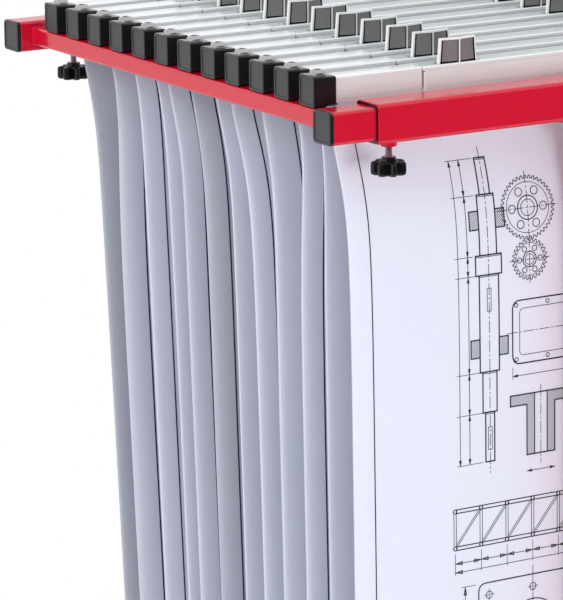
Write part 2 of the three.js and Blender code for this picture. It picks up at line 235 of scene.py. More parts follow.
@dataclass
class Sketch:
    """Closed shells in millimetres that together become one piece.

    Attributes:
        points: The shells' points.
        faces: The points of each face.
        marks: The finish number of each face.
    """

    points: list[Point] = field(default_factory=list)
    faces: list[tuple[int, ...]] = field(default_factory=list)
    marks: list[int] = field(default_factory=list)

    def loft(self, rings: Sequence[Sequence[Point]], mark: Callable[[int, int], int] | None = None,
             looped: bool = False, first: int = 0) -> None:
        """Joins rings of equal count into a shell.

        Args:
            rings: The rings in order.
            mark: Gives the finish number from a span and a facet number.
            looped: Whether the last ring joins the first; otherwise both ends are closed.
            first: Finish number of the face that closes the first ring.
        """
        base, count = len(self.points), len(rings[0])
        for ring in rings:
            self.points.extend(ring)
        spans = len(rings) if looped else len(rings) - 1
        for span in range(spans):
            here = base + span * count
            there = base + (span + 1) % len(rings) * count
            for index in range(count):
                after = (index + 1) % count
                self.faces.append((here + index, here + after, there + after, there + index))
                self.marks.append(mark(span, index) if mark else 0)
        if not looped:
            last = base + spans * count
            self.faces.append(tuple(reversed(range(base, base + count))))
            self.faces.append(tuple(range(last, last + count)))
            self.marks += [first, 0]

    def slab(self, outline: Outline, axis: Axis, low: float, high: float, ease: float = 0.4,
             mark: Callable[[Flat], int] | None = None, rim: int | None = None) -> None:
        """Carries an outline from low to high along an axis, with eased ends.

        Args:
            outline: Anticlockwise section.
            axis: Direction of travel.
            low: First station.
            high: Last station.
            ease: Size of the chamfer at both ends; 0 leaves them sharp.
            mark: Gives the finish number from a facet's outward normal.
            rim: Finish number of the chamfers, where it differs.
        """
        stations = [(outline, low), (outline, high)]
        if ease:
            tight = inset(outline, ease)
            stations = [(tight, low), (outline, low + ease), (outline, high - ease), (tight, high)]
        normals = facet_normals(outline)

        def facet(span: int, index: int) -> int:
            """Gives the finish number of one facet."""
            chamfer = rim is not None and ease and span != 1
            return rim if chamfer else mark(normals[index]) if mark else 0

        self.loft(axis.rings(stations), facet)

    def tube(self, axis: Axis, section: TubeSection, low: float, high: float) -> None:
        """Makes a square tube with eased mouths.

        Args:
            axis: Direction of the tube.
            section: Its section.
            low: First end.
            high: Last end.
        """
        half, wall, radius, lip = section.half, section.wall, section.radius, MOUTH_LIP
        outer, eased = square_ring(half, radius), square_ring(half - lip, radius - lip)
        bore = square_ring(half - wall, max(radius - wall, BORE_CORNER))
        self.loft(axis.rings([(eased, low), (outer, low + lip), (outer, high - lip), (eased, high),
                              (bore, high), (bore, low)]), looped=True)

    def weld_bead(self, axis: Axis, section: TubeSection, station: float, bead: float) -> None:
        """Lays a rippled weld bead round a square tube where it meets another.

        Args:
            axis: Direction of the tube.
            section: The tube's section.
            station: Where the tube meets its neighbour.
            bead: Half the bead's width.
        """
        facets, ripple, ripple_step = 8, 0.16, 2.1
        loop = rounded_ring(section.half, section.half, section.radius, 6)
        rings = []
        for turn in turns(facets):
            ring = []
            for index, (u, v) in enumerate(loop):
                swell = bead * (1 + ripple * math.sin(ripple_step * index))
                out = 1 + swell * math.cos(turn) / math.hypot(u, v)
                ring.append(axis.place(u * out, v * out, station + swell * math.sin(turn)))
            rings.append(ring)
        self.loft(rings, looped=True)

    def welded_tube(self, section: TubeSection, span: float, bead: float) -> None:
        """Makes a tube along Y with a weld bead at each end.

        Args:
            section: Its section.
            span: Half its length.
            bead: Half the beads' width.
        """
        self.tube(Axis.Y, section, -span, span)
        for end in (-span, span):
            self.weld_bead(Axis.Y, section, end, bead)

    def plug(self, half: float, shank: float, inward: int = 1) -> None:
        """Makes a tube plug along X: recessed face, raised rim, eased flange and shank.

        Args:
            half: Half the flange's size.
            shank: Half the shank's size.
            inward: 1 or -1, the X direction from its face into the tube.
        """
        flange = PLUG_FLANGE
        rings = [(0.7, half - 2.7, 1.4), (0.0, half - 2.3, 1.8), (0.0, half - 1.3, 2.6),
                 (0.35, half - 0.5, 3.1), (1.2, half, 3.5), (flange - 0.3, half, 3.5),
                 (flange, half - 0.3, 3.2), (flange, shank, 2.6), (flange + 13.0, shank, 2.6),
                 (flange + 14.0, shank - 0.9, 2.0)]
        self.loft(Axis.X.rings([(square_ring(size, radius), inward * depth)
                                for depth, size, radius in rings]), face_mark, first=1)

    def turned(self, profile: Outline, axis: Axis = Axis.Z, sides: int = 24,
               reach: Callable[[float, float], float] | None = None, hollow: bool = False) -> None:
        """Turns a profile of (radius, height) about an axis.

        Args:
            profile: Radius and height of each ring.
            axis: Turning axis.
            sides: Facets round the axis.
            reach: Changes the radius by the turn, for lobed shapes.
            hollow: Whether the profile is a loop clear of the axis; otherwise both ends are closed.
        """
        rings = axis.rings([
            ([around((0.0, 0.0), reach(radius, turn) if reach else radius, turn)
              for turn in turns(sides)], height) for radius, height in profile])
        self.loft(list(zip(*rings)) if hollow else rings, looped=hollow)

    def moved(self, x: float, y: float, z: float) -> "Sketch":
        """Returns the same shells at another place."""
        points = [(u + x, v + y, w + z) for u, v, w in self.points]
        return Sketch(points, list(self.faces), list(self.marks))

    def mirrored(self) -> "Sketch":
        """Returns the same shells at the other end of the rack."""
        faces = [tuple(reversed(face)) for face in self.faces]
        return Sketch([(-x, y, z) for x, y, z in self.points], faces, list(self.marks))

    def at_end(self, side: int) -> "Sketch":
        """Returns a left-hand sketch as it stands at an end, -1 for left and 1 for right."""
        return self.mirrored() if side > 0 else self

    def joined(self, other: "Sketch") -> "Sketch":
        """Returns this sketch and another as one."""
        faces = [tuple(index + len(self.points) for index in face) for face in other.faces]
        return Sketch(self.points + other.points, self.faces + faces, self.marks + other.marks)

    def mesh(self, name: str) -> Mesh:
        """Makes the mesh in metres, facing outwards and smooth where it bends gently.

        Args:
            name: The mesh's name.

        Returns:
            The mesh.
        """
        mesh = bpy.data.meshes.new(name)
        points = [[value * MM for value in point] for point in self.points]
        mesh.from_pydata(points, [], self.faces)
        mesh.polygons.foreach_set("material_index", self.marks)
        return settled(mesh)


def settled(mesh: Mesh) -> Mesh:
    """Turns a mesh's faces outwards and sets its smooth and sharp edges.

    Args:
        mesh: The mesh.

    Returns:
        The same mesh.
    """
    work = bmesh.new()
    work.from_mesh(mesh)
    bmesh.ops.recalc_face_normals(work, faces=work.faces)
    work.to_mesh(mesh)
    work.free()
    mesh.shade_smooth()
    mesh.set_sharp_from_angle(angle=SMOOTH_ANGLE)
    return mesh


def placed(name: str, data: ID) -> Object:
    """Makes an object of a mesh, lamp or camera and puts it in the scene.

    Args:
        name: The object's name.
        data: What it shows.

    Returns:
        The object.
    """
    thing = bpy.data.objects.new(name, data)
    bpy.context.scene.collection.objects.link(thing)
    return thing


def baked(name: str, carrier: Object) -> Mesh:
    """Keeps what an object's modifier makes, and takes the object away.

    Args:
        name: The new mesh's name.
        carrier: The object with its modifier.

    Returns:
        The result as a plain mesh.
    """
    graph = bpy.context.evaluated_depsgraph_get()
    graph.update()
    mesh = bpy.data.meshes.new_from_object(carrier.evaluated_get(graph), depsgraph=graph)
    carrier.modifiers.clear()
    bpy.data.objects.remove(carrier)
    mesh.name = name
    return mesh


# Node trees

class NodeDesk:
    """Short ways to lay out and join the nodes of one tree."""

    def __init__(self, tree: NodeTree) -> None:
        """Starts work on a tree."""
        self.tree = tree

    def sockets(self, given: dict[str, str], made: dict[str, str]) -> tuple[NodeOutputs, Node]:
        """Names a group's inputs and outputs.

        Args:
            given: Input names and the kinds of their sockets.
            made: Output names and the kinds of their sockets.

        Returns:
            The inputs' sockets, and the node that the outputs end in.
        """
        for way, names in (("INPUT", given), ("OUTPUT", made)):
            for name, kind in names.items():
                self.tree.interface.new_socket(name, in_out=way, socket_type="NodeSocket" + kind)
        start, end = (self.tree.nodes.new(kind) for kind in ("NodeGroupInput", "NodeGroupOutput"))
        return start.outputs, end

    def fill(self, node: Node, values: Values) -> Node:
        """Links or sets a node's inputs.

        Args:
            node: The node.
            values: Sockets or values for its inputs, by name or number.

        Returns:
            The same node.
        """
        for key, value in values.items():
            if isinstance(value, NodeSocket):
                self.tree.links.new(value, node.inputs[key])
            else:
                node.inputs[key].default_value = value
        return node

    def node(self, kind: str, values: Values, **settings: object) -> Node:
        """Adds a node.

        Args:
            kind: The node's type.
            values: Sockets or values for its inputs, by name or number.
            settings: The node's own properties.

        Returns:
            The new node.
        """
        node = self.tree.nodes.new(kind)
        for key, value in settings.items():
            setattr(node, key, value)
        return self.fill(node, values)

    def result(self, kind: str, output: str | int, values: Values,
               **settings: object) -> NodeSocket:
        """Adds a node and returns one of its outputs."""
        return self.node(kind, values, **settings).outputs[output]

    def math(self, operation: str, *terms: object) -> NodeSocket:
        """Adds a math node and returns its result."""
        return self.result("ShaderNodeMath", 0, dict(enumerate(terms)), operation=operation)

    def realize(self, instances: NodeSocket, finish: NodeSocket, made: Node) -> NodeTree:
        """Ends a geometry tree: makes its instances real and sets their finish.

        Args:
            instances: The instances.
            finish: The input that holds their material.
            made: The node that the tree's output ends in.

        Returns:
            The finished tree.
        """
        real = self.result("GeometryNodeRealizeInstances", 0, {"Geometry": instances})
        dressed = self.result("GeometryNodeSetMaterial", 0, {"Geometry": real, "Material": finish})
        self.fill(made, {0: dressed})
        return self.tree


def grown(name: str, tree: NodeTree, seed_mesh: Mesh, values: dict[str, object]) -> Mesh:
    """Runs a geometry tree and keeps its result as a plain mesh.

    Args:
        name: The new mesh's name.
        tree: The geometry tree.
        seed_mesh: What the tree starts from.
        values: The tree's inputs by name.

    Returns:
        The mesh that the tree made.
    """
    carrier = placed(name + "_carrier", seed_mesh)
    modifier = carrier.modifiers.new("grow", "NODES")
    modifier.node_group = tree
    keys = {item.name: item.identifier for item in tree.interface.items_tree
            if item.in_out == "INPUT"}
    for key, value in values.items():
        modifier[keys[key]] = value
    mesh = baked(name, carrier)
    mesh.materials.clear()
    mesh.materials.append(values["Finish"])
    mesh.polygons.foreach_set("material_index", [0] * len(mesh.polygons))
    return mesh


def repeat_tree() -> NodeTree:
    """Builds the tree that sets a template at every marked place, turned as each place says.

    Returns:
        The tree.
    """
    desk = NodeDesk(bpy.data.node_groups.new("repeat_at_places", "GeometryNodeTree"))
    given, made = desk.sockets({"Places": "Geometry", "Template": "Object", "Finish": "Material",
                                "Spin": "Float", "Seed": "Int"}, {"Pieces": "Geometry"})

    def rotation(euler: NodeSocket) -> NodeSocket:
        """Makes three angles a rotation."""
        return desk.result("FunctionNodeEulerToRotation", "Rotation", {"Euler": euler})

    shape = desk.result("GeometryNodeObjectInfo", "Geometry", {
        "Object": given["Template"], "As Instance": True})
    turn = desk.result("GeometryNodeInputNamedAttribute", "Attribute", {"Name": "turn"},
                       data_type="FLOAT_VECTOR")
    copies = desk.result("GeometryNodeInstanceOnPoints", "Instances", {
        "Points": given["Places"], "Instance": shape, "Rotation": rotation(turn)})
    chance = desk.result("FunctionNodeRandomValue", 1, {
        2: 0.0, 3: given["Spin"], "Seed": given["Seed"]}, data_type="FLOAT")
    spin = desk.result("ShaderNodeCombineXYZ", "Vector", {"Z": chance})
    spun = desk.result("GeometryNodeRotateInstances", "Instances", {
        "Instances": copies, "Rotation": rotation(spin), "Local Space": True})
    return desk.realize(spun, given["Finish"], made)


def leaf_tree() -> NodeTree:
    """Builds the tree that hangs a stack of leaves, which bow out below the jaws, lean and ripple.

    Returns:
        The tree.
    """
    desk = NodeDesk(bpy.data.node_groups.new("hanging_leaves", "GeometryNodeTree"))
    numbers = ("Width", "Length", "Top", "Front", "Grip", "Bow", "Lean", "Reach", "Ripple", "Wave",
               "Phase", "Settle", "Sway", "Sway Reach", "Flare", "Flare Depth", "Curl",
               "Curl Reach", "Crowding", "Thick", "Pitch", "Jitter")
    given, made = desk.sockets(
        {"Seed Mesh": "Geometry", **dict.fromkeys(numbers, "Float"), "Leaves": "Int",
         "Seed": "Int", "Finish": "Material"}, {"Leaf Stack": "Geometry"})
    plus, minus, times, over, power, exp = (partial(desk.math, operation) for operation in (
        "ADD", "SUBTRACT", "MULTIPLY", "DIVIDE", "POWER", "EXPONENT"))
    vector = partial(desk.result, "ShaderNodeCombineXYZ", "Vector")

    width, length = given["Width"], given["Length"]
    grid = desk.result("GeometryNodeMeshGrid", "Mesh", {
        "Size X": width, "Size Y": length, "Vertices X": 36, "Vertices Y": 62})
    spot = desk.node("ShaderNodeSeparateXYZ", {
        0: desk.result("GeometryNodeInputPosition", 0, {})}).outputs
    inward = times(power(plus(over(spot["X"], width), 0.5), given["Crowding"]), width)
    across = minus(inward, times(width, 0.5))
    depth = minus(times(length, 0.5), spot["Y"])
    below = desk.math("MAXIMUM", minus(depth, given["Grip"]), 0.0)

    def swell(scale: NodeSocket) -> NodeSocket:
        """Returns 1 - exp(-(below / scale)^2)."""
        return minus(1.0, exp(times(power(over(below, scale), 2.0), -1.0)))

    wave = desk.math("SINE", plus(times(across, given["Wave"]), given["Phase"]))
    fallen = over(below, given["Flare Depth"])
    near_edge = exp(times(over(inward, given["Curl Reach"]), -1.0))
    forward = given["Front"]
    for taken in (times(given["Bow"], swell(given["Reach"])), times(given["Lean"], below),
                  times(given["Sway"], swell(given["Sway Reach"])),
                  times(given["Flare"], times(fallen, exp(minus(1.0, fallen))))):
        forward = minus(forward, taken)
    for added in (times(times(given["Ripple"], swell(given["Settle"])), wave),
                  times(times(given["Curl"], swell(given["Reach"])), near_edge)):
        forward = plus(forward, added)
    place = vector({"X": across, "Y": forward, "Z": minus(given["Top"], depth)})
    sheet = desk.result("GeometryNodeSetPosition", "Geometry", {
        "Geometry": grid, "Position": place})

    back = desk.result("GeometryNodeExtrudeMesh", "Mesh", {
        "Mesh": sheet, "Offset Scale": times(given["Thick"], -1.0), "Individual": False},
        mode="FACES")
    front = desk.result("GeometryNodeFlipFaces", "Mesh", {"Mesh": sheet})
    both = desk.node("GeometryNodeJoinGeometry", {"Geometry": back})
    desk.fill(both, {"Geometry": front})
    leaf = desk.result("GeometryNodeMergeByDistance", "Geometry", {
        "Geometry": both.outputs["Geometry"], "Distance": 1e-5})
    line = desk.result("GeometryNodeMeshLine", "Mesh", {
        "Count": given["Leaves"], "Offset": vector({"Y": given["Pitch"]})})
    stack = desk.result("GeometryNodeInstanceOnPoints", "Instances", {
        "Points": line, "Instance": leaf})
    jitter = given["Jitter"]
    chance = desk.result("FunctionNodeRandomValue", 0, {
        0: vector({"X": times(jitter, -1.0), "Z": 0.0}), 1: vector({"X": jitter, "Z": jitter}),
        "Seed": given["Seed"]}, data_type="FLOAT_VECTOR")
    loose = desk.result("GeometryNodeTranslateInstances", "Instances", {
        "Instances": stack, "Translation": chance})
    return desk.realize(loose, given["Finish"], made)


def grain_group() -> NodeTree:
    """Builds the shared surface grain: a stretched noise that gives a height and a roughness.

    Returns:
        The group.
    """
    desk = NodeDesk(bpy.data.node_groups.new("surface_grain", "ShaderNodeTree"))
    given, made = desk.sockets({"Place": "Vector", "Stretch": "Vector", "Scale": "Float",
                                "Smooth": "Float", "Rough": "Float"},
                               {"Height": "Float", "Roughness": "Float"})
    drawn = desk.result("ShaderNodeVectorMath", "Vector", {
        0: given["Place"], 1: given["Stretch"]}, operation="MULTIPLY")
    noise = desk.result("ShaderNodeTexNoise", "Fac", {
        "Vector": drawn, "Scale": given["Scale"], "Detail": 3.0, "Roughness": 0.55})
    level = desk.result("ShaderNodeMapRange", "Result", {
        "Value": noise, "From Min": 0.3, "From Max": 0.7,
        "To Min": given["Smooth"], "To Max": given["Rough"]})
    desk.fill(made, {"Height": noise, "Roughness": level})
    return desk.tree


def tint_group() -> NodeTree:
    """Builds the shared colour drift: two tones mixed by a broad noise and a fine fleck.

    Returns:
        The group.
    """
    desk = NodeDesk(bpy.data.node_groups.new("tone_drift", "ShaderNodeTree"))
    given, made = desk.sockets({"Place": "Vector", "Stretch": "Vector", "Light Tone": "Color",
                                "Deep Tone": "Color", "Broad Scale": "Float",
                                "Fleck Scale": "Float"}, {"Colour": "Color"})
    drawn = desk.result("ShaderNodeVectorMath", "Vector", {
        0: given["Place"], 1: given["Stretch"]}, operation="MULTIPLY")
    broad, fleck = (desk.result("ShaderNodeTexNoise", "Fac", {
        "Vector": place, "Scale": scale, "Detail": 2.0})
        for place, scale in ((given["Place"], given["Broad Scale"]),
                             (drawn, given["Fleck Scale"])))
    share = desk.result("ShaderNodeMapRange", "Result", {
        "Value": desk.math("ADD", broad, fleck), "From Min": 0.7, "From Max": 1.3})
    blend = desk.result("ShaderNodeMix", 2, {
        "Factor": share, 6: given["Light Tone"], 7: given["Deep Tone"]}, data_type="RGBA")
    desk.fill(made, {"Colour": blend})
    return desk.tree


# Finishes

def new_material(name: str) -> tuple[Material, NodeDesk, Node]:
    """Starts a material.

    Args:
        name: The material's name.

    Returns:
        The material, its desk and its shader node.
    """
    material = bpy.data.materials.new(name)
    material.use_nodes = True
    desk = NodeDesk(material.node_tree)
    return material, desk, desk.tree.nodes["Principled BSDF"]


@dataclass(frozen=True)
class Coating:
    """One finish: its tones, gloss and grain.

    Attributes:
        name: The material's name.
        light: Lighter tone, linear.
        deep: Deeper tone, linear.
        rough: Roughness from the smoothest to the roughest spot.
        metallic: 1 for bare metal.
        specular: Specular level of the surface.
        coat: Clear layer over the colour.
        grain_scale: Grains in a metre.
        grain_depth: Strength of the grain's relief.
        stretch: Draws the grain out along an axis where a value is small.
        broad_scale: Colour drifts in a metre.
    """

    name: str
    light: Point
    deep: Point
    rough: Flat
    metallic: float = 0.0
    specular: float = 0.5
    coat: float = 0.0
    grain_scale: float = 900.0
    grain_depth: float = 0.08
    stretch: Point = (1.0, 1.0, 1.0)
    broad_scale: float = 7.0

    def material(self, grain: NodeTree, tint: NodeTree) -> Material:
        """Builds the finish as a material on object coordinates.

        Args:
            grain: The shared grain group.
            tint: The shared colour drift group.

        Returns:
            The material.
        """
        fleck_share, grain_height, coat_roughness = 0.6, 0.0006, 0.06
        material, desk, shader = new_material(self.name)
        laid = {"Place": desk.result("ShaderNodeTexCoord", "Object", {}), "Stretch": self.stretch}
        tone = desk.node("ShaderNodeGroup", {}, node_tree=tint)
        desk.fill(tone, {**laid, "Light Tone": (*self.light, 1.0), "Deep Tone": (*self.deep, 1.0),
                         "Broad Scale": self.broad_scale,
                         "Fleck Scale": self.grain_scale * fleck_share})
        relief = desk.node("ShaderNodeGroup", {}, node_tree=grain)
        desk.fill(relief, {**laid, "Scale": self.grain_scale, "Smooth": self.rough[0],
                           "Rough": self.rough[1]})
        bump = desk.result("ShaderNodeBump", "Normal", {
            "Strength": self.grain_depth, "Distance": grain_height,
            "Height": relief.outputs["Height"]})
        desk.fill(shader, {
            "Base Color": tone.outputs["Colour"], "Roughness": relief.outputs["Roughness"],
            "Normal": bump, "Metallic": self.metallic, "Specular IOR Level": self.specular,
            "Coat Weight": self.coat, "Coat Roughness": coat_roughness})
        return material


BRUSHED = partial(Coating, stretch=(0.02, 1.0, 1.0))
SHEET = partial(Coating, rough=(0.72, 0.84), specular=0.2, grain_scale=1100.0, grain_depth=0.04,
                stretch=(1.0, 1.0, 0.35), broad_scale=5.0)


class Finish(Enum):
    """The finishes on the rack's surfaces."""

    RED = Coating("red_powder_coat", (0.64, 0.0055, 0.03), (0.6, 0.004, 0.026), (0.15, 0.2),
                  coat=0.2, grain_scale=700.0, grain_depth=0.02)
    BLACK = Coating("black_moulded_plastic", (0.019, 0.017, 0.019), (0.012, 0.011, 0.012),
                    (0.1, 0.16), specular=0.32, grain_scale=1500.0, grain_depth=0.03)
    BLACK_FACE = Coating("black_grained_face", (0.038, 0.039, 0.044), (0.027, 0.028, 0.032),
                         (0.36, 0.48), grain_scale=1700.0, grain_depth=0.3)
    KNOB = Coating("black_knob_plastic", (0.008, 0.008, 0.009), (0.005, 0.005, 0.006),
                   (0.14, 0.22), specular=0.4, grain_scale=1600.0, grain_depth=0.04)
    # Three copies of one satin aluminium for the clamp bars, picked by which way a facet faces:
    # painted highlight on upward faces and eased edges, plain satin on the sides, painted shade on
    # the middle's flat top.
    BRIGHT = BRUSHED("bright_aluminium", (0.95, 0.955, 0.95), (0.89, 0.895, 0.89), (0.16, 0.26),
                     metallic=0.15, grain_scale=1400.0, grain_depth=0.04)
    SATIN_SIDE = BRUSHED("satin_aluminium_side", (0.84, 0.86, 0.845), (0.78, 0.8, 0.785),
                         (0.36, 0.46), metallic=0.08, grain_scale=1500.0, grain_depth=0.05)
    SATIN_TOP = BRUSHED("satin_aluminium_top", (0.56, 0.63, 0.605), (0.52, 0.585, 0.56),
                        (0.36, 0.46), metallic=0.15, grain_scale=1500.0, grain_depth=0.05)
    WING_PANEL = Coating("wing_panel_metal", (0.29, 0.29, 0.282), (0.245, 0.244, 0.238),
                         (0.4, 0.52), metallic=0.3, stretch=(1.0, 1.0, 0.05), grain_scale=1500.0,
                         grain_depth=0.06)
    # The wing tabs' rims and edges: the panels' metal painted near white, a painted highlight.
    WING_RIM = Coating("wing_rim_metal", (0.95, 0.95, 0.95), (0.89, 0.89, 0.89), (0.16, 0.26),
                       metallic=0.05, grain_scale=1500.0, grain_depth=0.04)
    CHROME = Coating("chromed_screw_steel", (0.5, 0.5, 0.51), (0.4, 0.4, 0.42), (0.1, 0.18),
                     metallic=1.0, grain_scale=1300.0, grain_depth=0.03)
    ZINC = Coating("zinc_plated_steel", (0.66, 0.68, 0.7), (0.5, 0.52, 0.55), (0.24, 0.38),
                   metallic=1.0, broad_scale=60.0)
    TYRE = Coating("grey_tyre_rubber", (0.12, 0.122, 0.126), (0.085, 0.087, 0.09), (0.6, 0.75),
                   grain_scale=1300.0, grain_depth=0.25, broad_scale=30.0)
    HUB = Coating("grey_hub_plastic", (0.3, 0.305, 0.31), (0.25, 0.255, 0.26), (0.4, 0.5),
                  grain_scale=1500.0, grain_depth=0.12)
    PAPER = SHEET("plan_paper", (0.775, 0.795, 0.89), (0.74, 0.76, 0.86))
    # Darker copies of the plan paper for a few sets: painted shade.
    PAPER_DULL = SHEET("plan_paper_dull", (0.651, 0.668, 0.748), (0.622, 0.638, 0.722))
    PAPER_GREY = SHEET("plan_paper_grey", (0.589, 0.604, 0.676), (0.562, 0.578, 0.654))
    INK = Coating("drawing_ink", (0.03, 0.03, 0.04), (0.015, 0.015, 0.02), (0.6, 0.75),
                  specular=0.2, grain_scale=1800.0)


class Slot(Enum):
    """The record's material slots."""

    RED_PAINT = "red_paint"
    BLACK_PLASTIC = "black_plastic"
    ALUMINIUM = "aluminium"
    WING_METAL = "wing_metal"
    ZINC_STEEL = "zinc_steel"
    GREY_TYRE = "grey_tyre"
    PAPER = "paper"


class Surface(Enum):
    """What pieces are made of: a record slot, and finishes in the order of a piece's marks."""

    RED_STEEL = (Slot.RED_PAINT, Finish.RED)
    MOULDING = (Slot.BLACK_PLASTIC, Finish.BLACK, Finish.BLACK_FACE)
    KNOB_PLASTIC = (Slot.BLACK_PLASTIC, Finish.KNOB)
    # Satin aluminium, with its copies for painted highlight and painted shade given by facet.
    BAR_METAL = (Slot.ALUMINIUM, Finish.SATIN_SIDE, Finish.BRIGHT, Finish.SATIN_TOP)
    # Wing panel, rim with painted highlight, and the groove between them with painted shade in
    # black plastic.
    WING_SHEET = (Slot.WING_METAL, Finish.WING_PANEL, Finish.WING_RIM, Finish.KNOB)
    SCREW_STEEL = (Slot.ZINC_STEEL, Finish.CHROME)
    ZINC_PLATE = (Slot.ZINC_STEEL, Finish.ZINC)
    TYRE_RUBBER = (Slot.GREY_TYRE, Finish.TYRE)
    HUB_PLASTIC = (Slot.GREY_TYRE, Finish.HUB)
    PAPER = (Slot.PAPER, Finish.PAPER)
    INK = (Slot.PAPER, Finish.INK)

    @property
    def slot(self) -> Slot:
        """Returns the record slot."""
        return self.value[0]

    @property
    def finishes(self) -> tuple[Finish, ...]:
        """Returns the finishes."""
        return self.value[1:]


def make_palette() -> dict[Finish, Material]:
    """Builds every finish once, from the two shared groups."""
    grain, tint = grain_group(), tint_group()
    return {finish: finish.value.material(grain, tint) for finish in Finish}


@dataclass
class SubAssembly:
    """A group of the rack's pieces that are built first and dressed afterwards."""

    palette: dict[Finish, Material]
    repeats: NodeTree
    made: list[tuple[Object, Surface]] = field(default_factory=list, init=False)

    def carry(self, mesh: Mesh, body: str, surface: Surface,
              replaced: Sequence[str] = ()) -> Object:
        """Makes a mesh a piece that rides on a body.

        Args:
            mesh: The finished mesh, in place.
            body: The body that it moves with.
            surface: Not used.
            replaced: Frame nodes that it stands for.

        Returns:
            The piece.
        """
        piece = placed(mesh.name, mesh)
        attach(piece, body)
        if replaced:
            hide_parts(*replaced)
        log.info("%s rides on %s", mesh.name, body)
        return piece

    def keep(self, sketch: Sketch, name: str, body: str, surface: Surface,
             replaced: Sequence[str] = ()) -> Object:
        """Makes a sketch a piece with evened normals, to be dressed later.

        Args:
            sketch: The shells.
            name: The piece's name.
            body: The body that it moves with.
            surface: What it is made of.
            replaced: Frame nodes that it stands for.

        Returns:
            The piece.
        """
        blank = placed(name + "_blank", sketch.mesh(name + "_blank"))
        blank.modifiers.new("even", "WEIGHTED_NORMAL").keep_sharp = True
        piece = self.carry(baked(name, blank), body, surface, replaced)
        self.made.append((piece, surface))
        return piece

    def repeat(self, template: Sketch, places: Sequence[tuple[Point, Point]], name: str, body: str,
               surface: Surface, spin: float = 0.0, seed: int = 4) -> None:
        """Sets a template at many places as one piece.

        Args:
            template: The shape about its own origin.
            places: Positions in millimetres and turns in radians.
            name: The piece's name.
            body: The body that it moves with.
            surface: What it is made of.
            spin: Largest chance turn about the template's own axis.
            seed: Seed of that turn.
        """
        pattern = placed(name + "_pattern", template.mesh(name + "_pattern"))
        spots = bpy.data.meshes.new(name + "_spots")
        spots.from_pydata([[value * MM for value in spot] for spot, _ in places], [], [])
        facing = spots.attributes.new("turn", "FLOAT_VECTOR", "POINT")
        facing.data.foreach_set("vector", [value for _, turn in places for value in turn])
        mesh = grown(name, self.repeats, spots, {
            "Template": pattern, "Finish": self.palette[surface.finishes[0]], "Spin": spin,
            "Seed": seed})
        bpy.data.objects.remove(pattern)
        self.carry(mesh, body, surface)

    def dress(self) -> None:
        """Gives every kept piece its finishes."""
        for piece, surface in self.made:
            for finish in surface.finishes:
                piece.data.materials.append(self.palette[finish])


# The frame

@dataclass
class RailTubes(SubAssembly):
    """The two outer rail tubes, the liners in their mouths and the bosses under them."""

    section: TubeSection = TubeSection(17.0, 2.4, 4.0)
    reach: float = 228.0
    boss_gap: float = 0.01
    boss: Profile = ((3.45, 0.0), (3.45, -4.5), (3.95, -5.0), (6.3, -5.0), (7.0, -4.3),
                     (7.0, -0.9), (7.9, 0.0))
    # Half size, corner radius and distance out of the mouth
    liner: tuple[Point, ...] = ((15.5, 3.0, 0.0), (15.9, 3.0, 0.35), (15.9, 3.0, 0.8),
                                (14.15, 3.4, 0.8), (14.15, 3.4, -11.0), (14.45, 3.2, -11.0),
                                (14.45, 3.2, -0.1), (15.5, 3.0, -0.1))

    def mouth_liners(self) -> Sketch:
        """Draws black liners in the rails' mouths, which show as a dark line round each mouth.

        Returns:
            The four liners.
        """
        liners = Sketch()
        for _, side, y in CORNERS:
            liner = Sketch()
            liner.loft(Axis.X.rings([(square_ring(size, radius), side * (self.reach + out))
                                     for size, radius, out in self.liner]), looped=True)
            liners = liners.joined(liner.moved(0.0, y, RAIL_HEIGHT))
        return liners

    def build(self) -> None:
        """Builds both rails, their liners and their bosses."""
        tube, boss = Sketch(), Sketch()
        tube.tube(Axis.X, self.section, -self.reach, self.reach)
        for row, y in ROWS.items():
            self.keep(tube.moved(0.0, y, RAIL_HEIGHT), f"{row}_rail_tube", "stand",
                      Surface.RED_STEEL, [f"{row}_outer_tube"])
        self.keep(self.mouth_liners(), "rail_mouth_liners", "stand", Surface.KNOB_PLASTIC)
        boss.turned(self.boss, sides=32, hollow=True)
        under = RAIL_HEIGHT - self.section.half - self.boss_gap
        places = [((side * LOCK_X, y, under), ORIGIN) for _, side, y in CORNERS]
        self.repeat(boss, places, "lock_bosses", "stand", Surface.RED_STEEL)


@dataclass
class SlidingEnds(SubAssembly):
    """The telescoping ends: inner tubes, their plugs and the bars that carry the clamps."""

    section: TubeSection = TubeSection(14.0, 2.0, 3.5)
    bar_section: TubeSection = TubeSection(8.0, 1.5, 2.5)
    length: float = 250.0
    reach: float = 273.0
    plug_play: float = 0.35
    bar_inset: float = 16.0
    bead: float = 1.5

    def build(self) -> None:
        """Builds the tubes, plugs and bars of both ends."""
        half, start = self.section.half, PLUG_FLANGE + WELD_GAP
        tube, plug, bar = Sketch(), Sketch(), Sketch()
        tube.tube(Axis.X, self.section, start, start + self.length)
        plug.plug(half, half - self.section.wall - self.plug_play)
        bar.welded_tube(self.bar_section, ROWS["rear"] - half - WELD_GAP, self.bead)
        bar = bar.moved(-self.reach + self.bar_inset + self.bar_section.half, 0.0, RAIL_HEIGHT)
        for end, side in ENDS.items():
            body = f"{end}_end"
            for row, y in ROWS.items():
                place = (-self.reach, y, RAIL_HEIGHT)
                self.keep(tube.moved(*place).at_end(side), f"{end}_{row}_slide_tube", body,
                          Surface.RED_STEEL, [f"{end}_{row}_inner_tube"])
                self.keep(plug.moved(*place).at_end(side), f"{end}_{row}_plug", body,
                          Surface.MOULDING, [f"{end}_{row}_tube_plug"])
            self.keep(bar.at_end(side), f"{end}_clamp_bar", body, Surface.RED_STEEL,
                      [f"{end}_end_bar"])


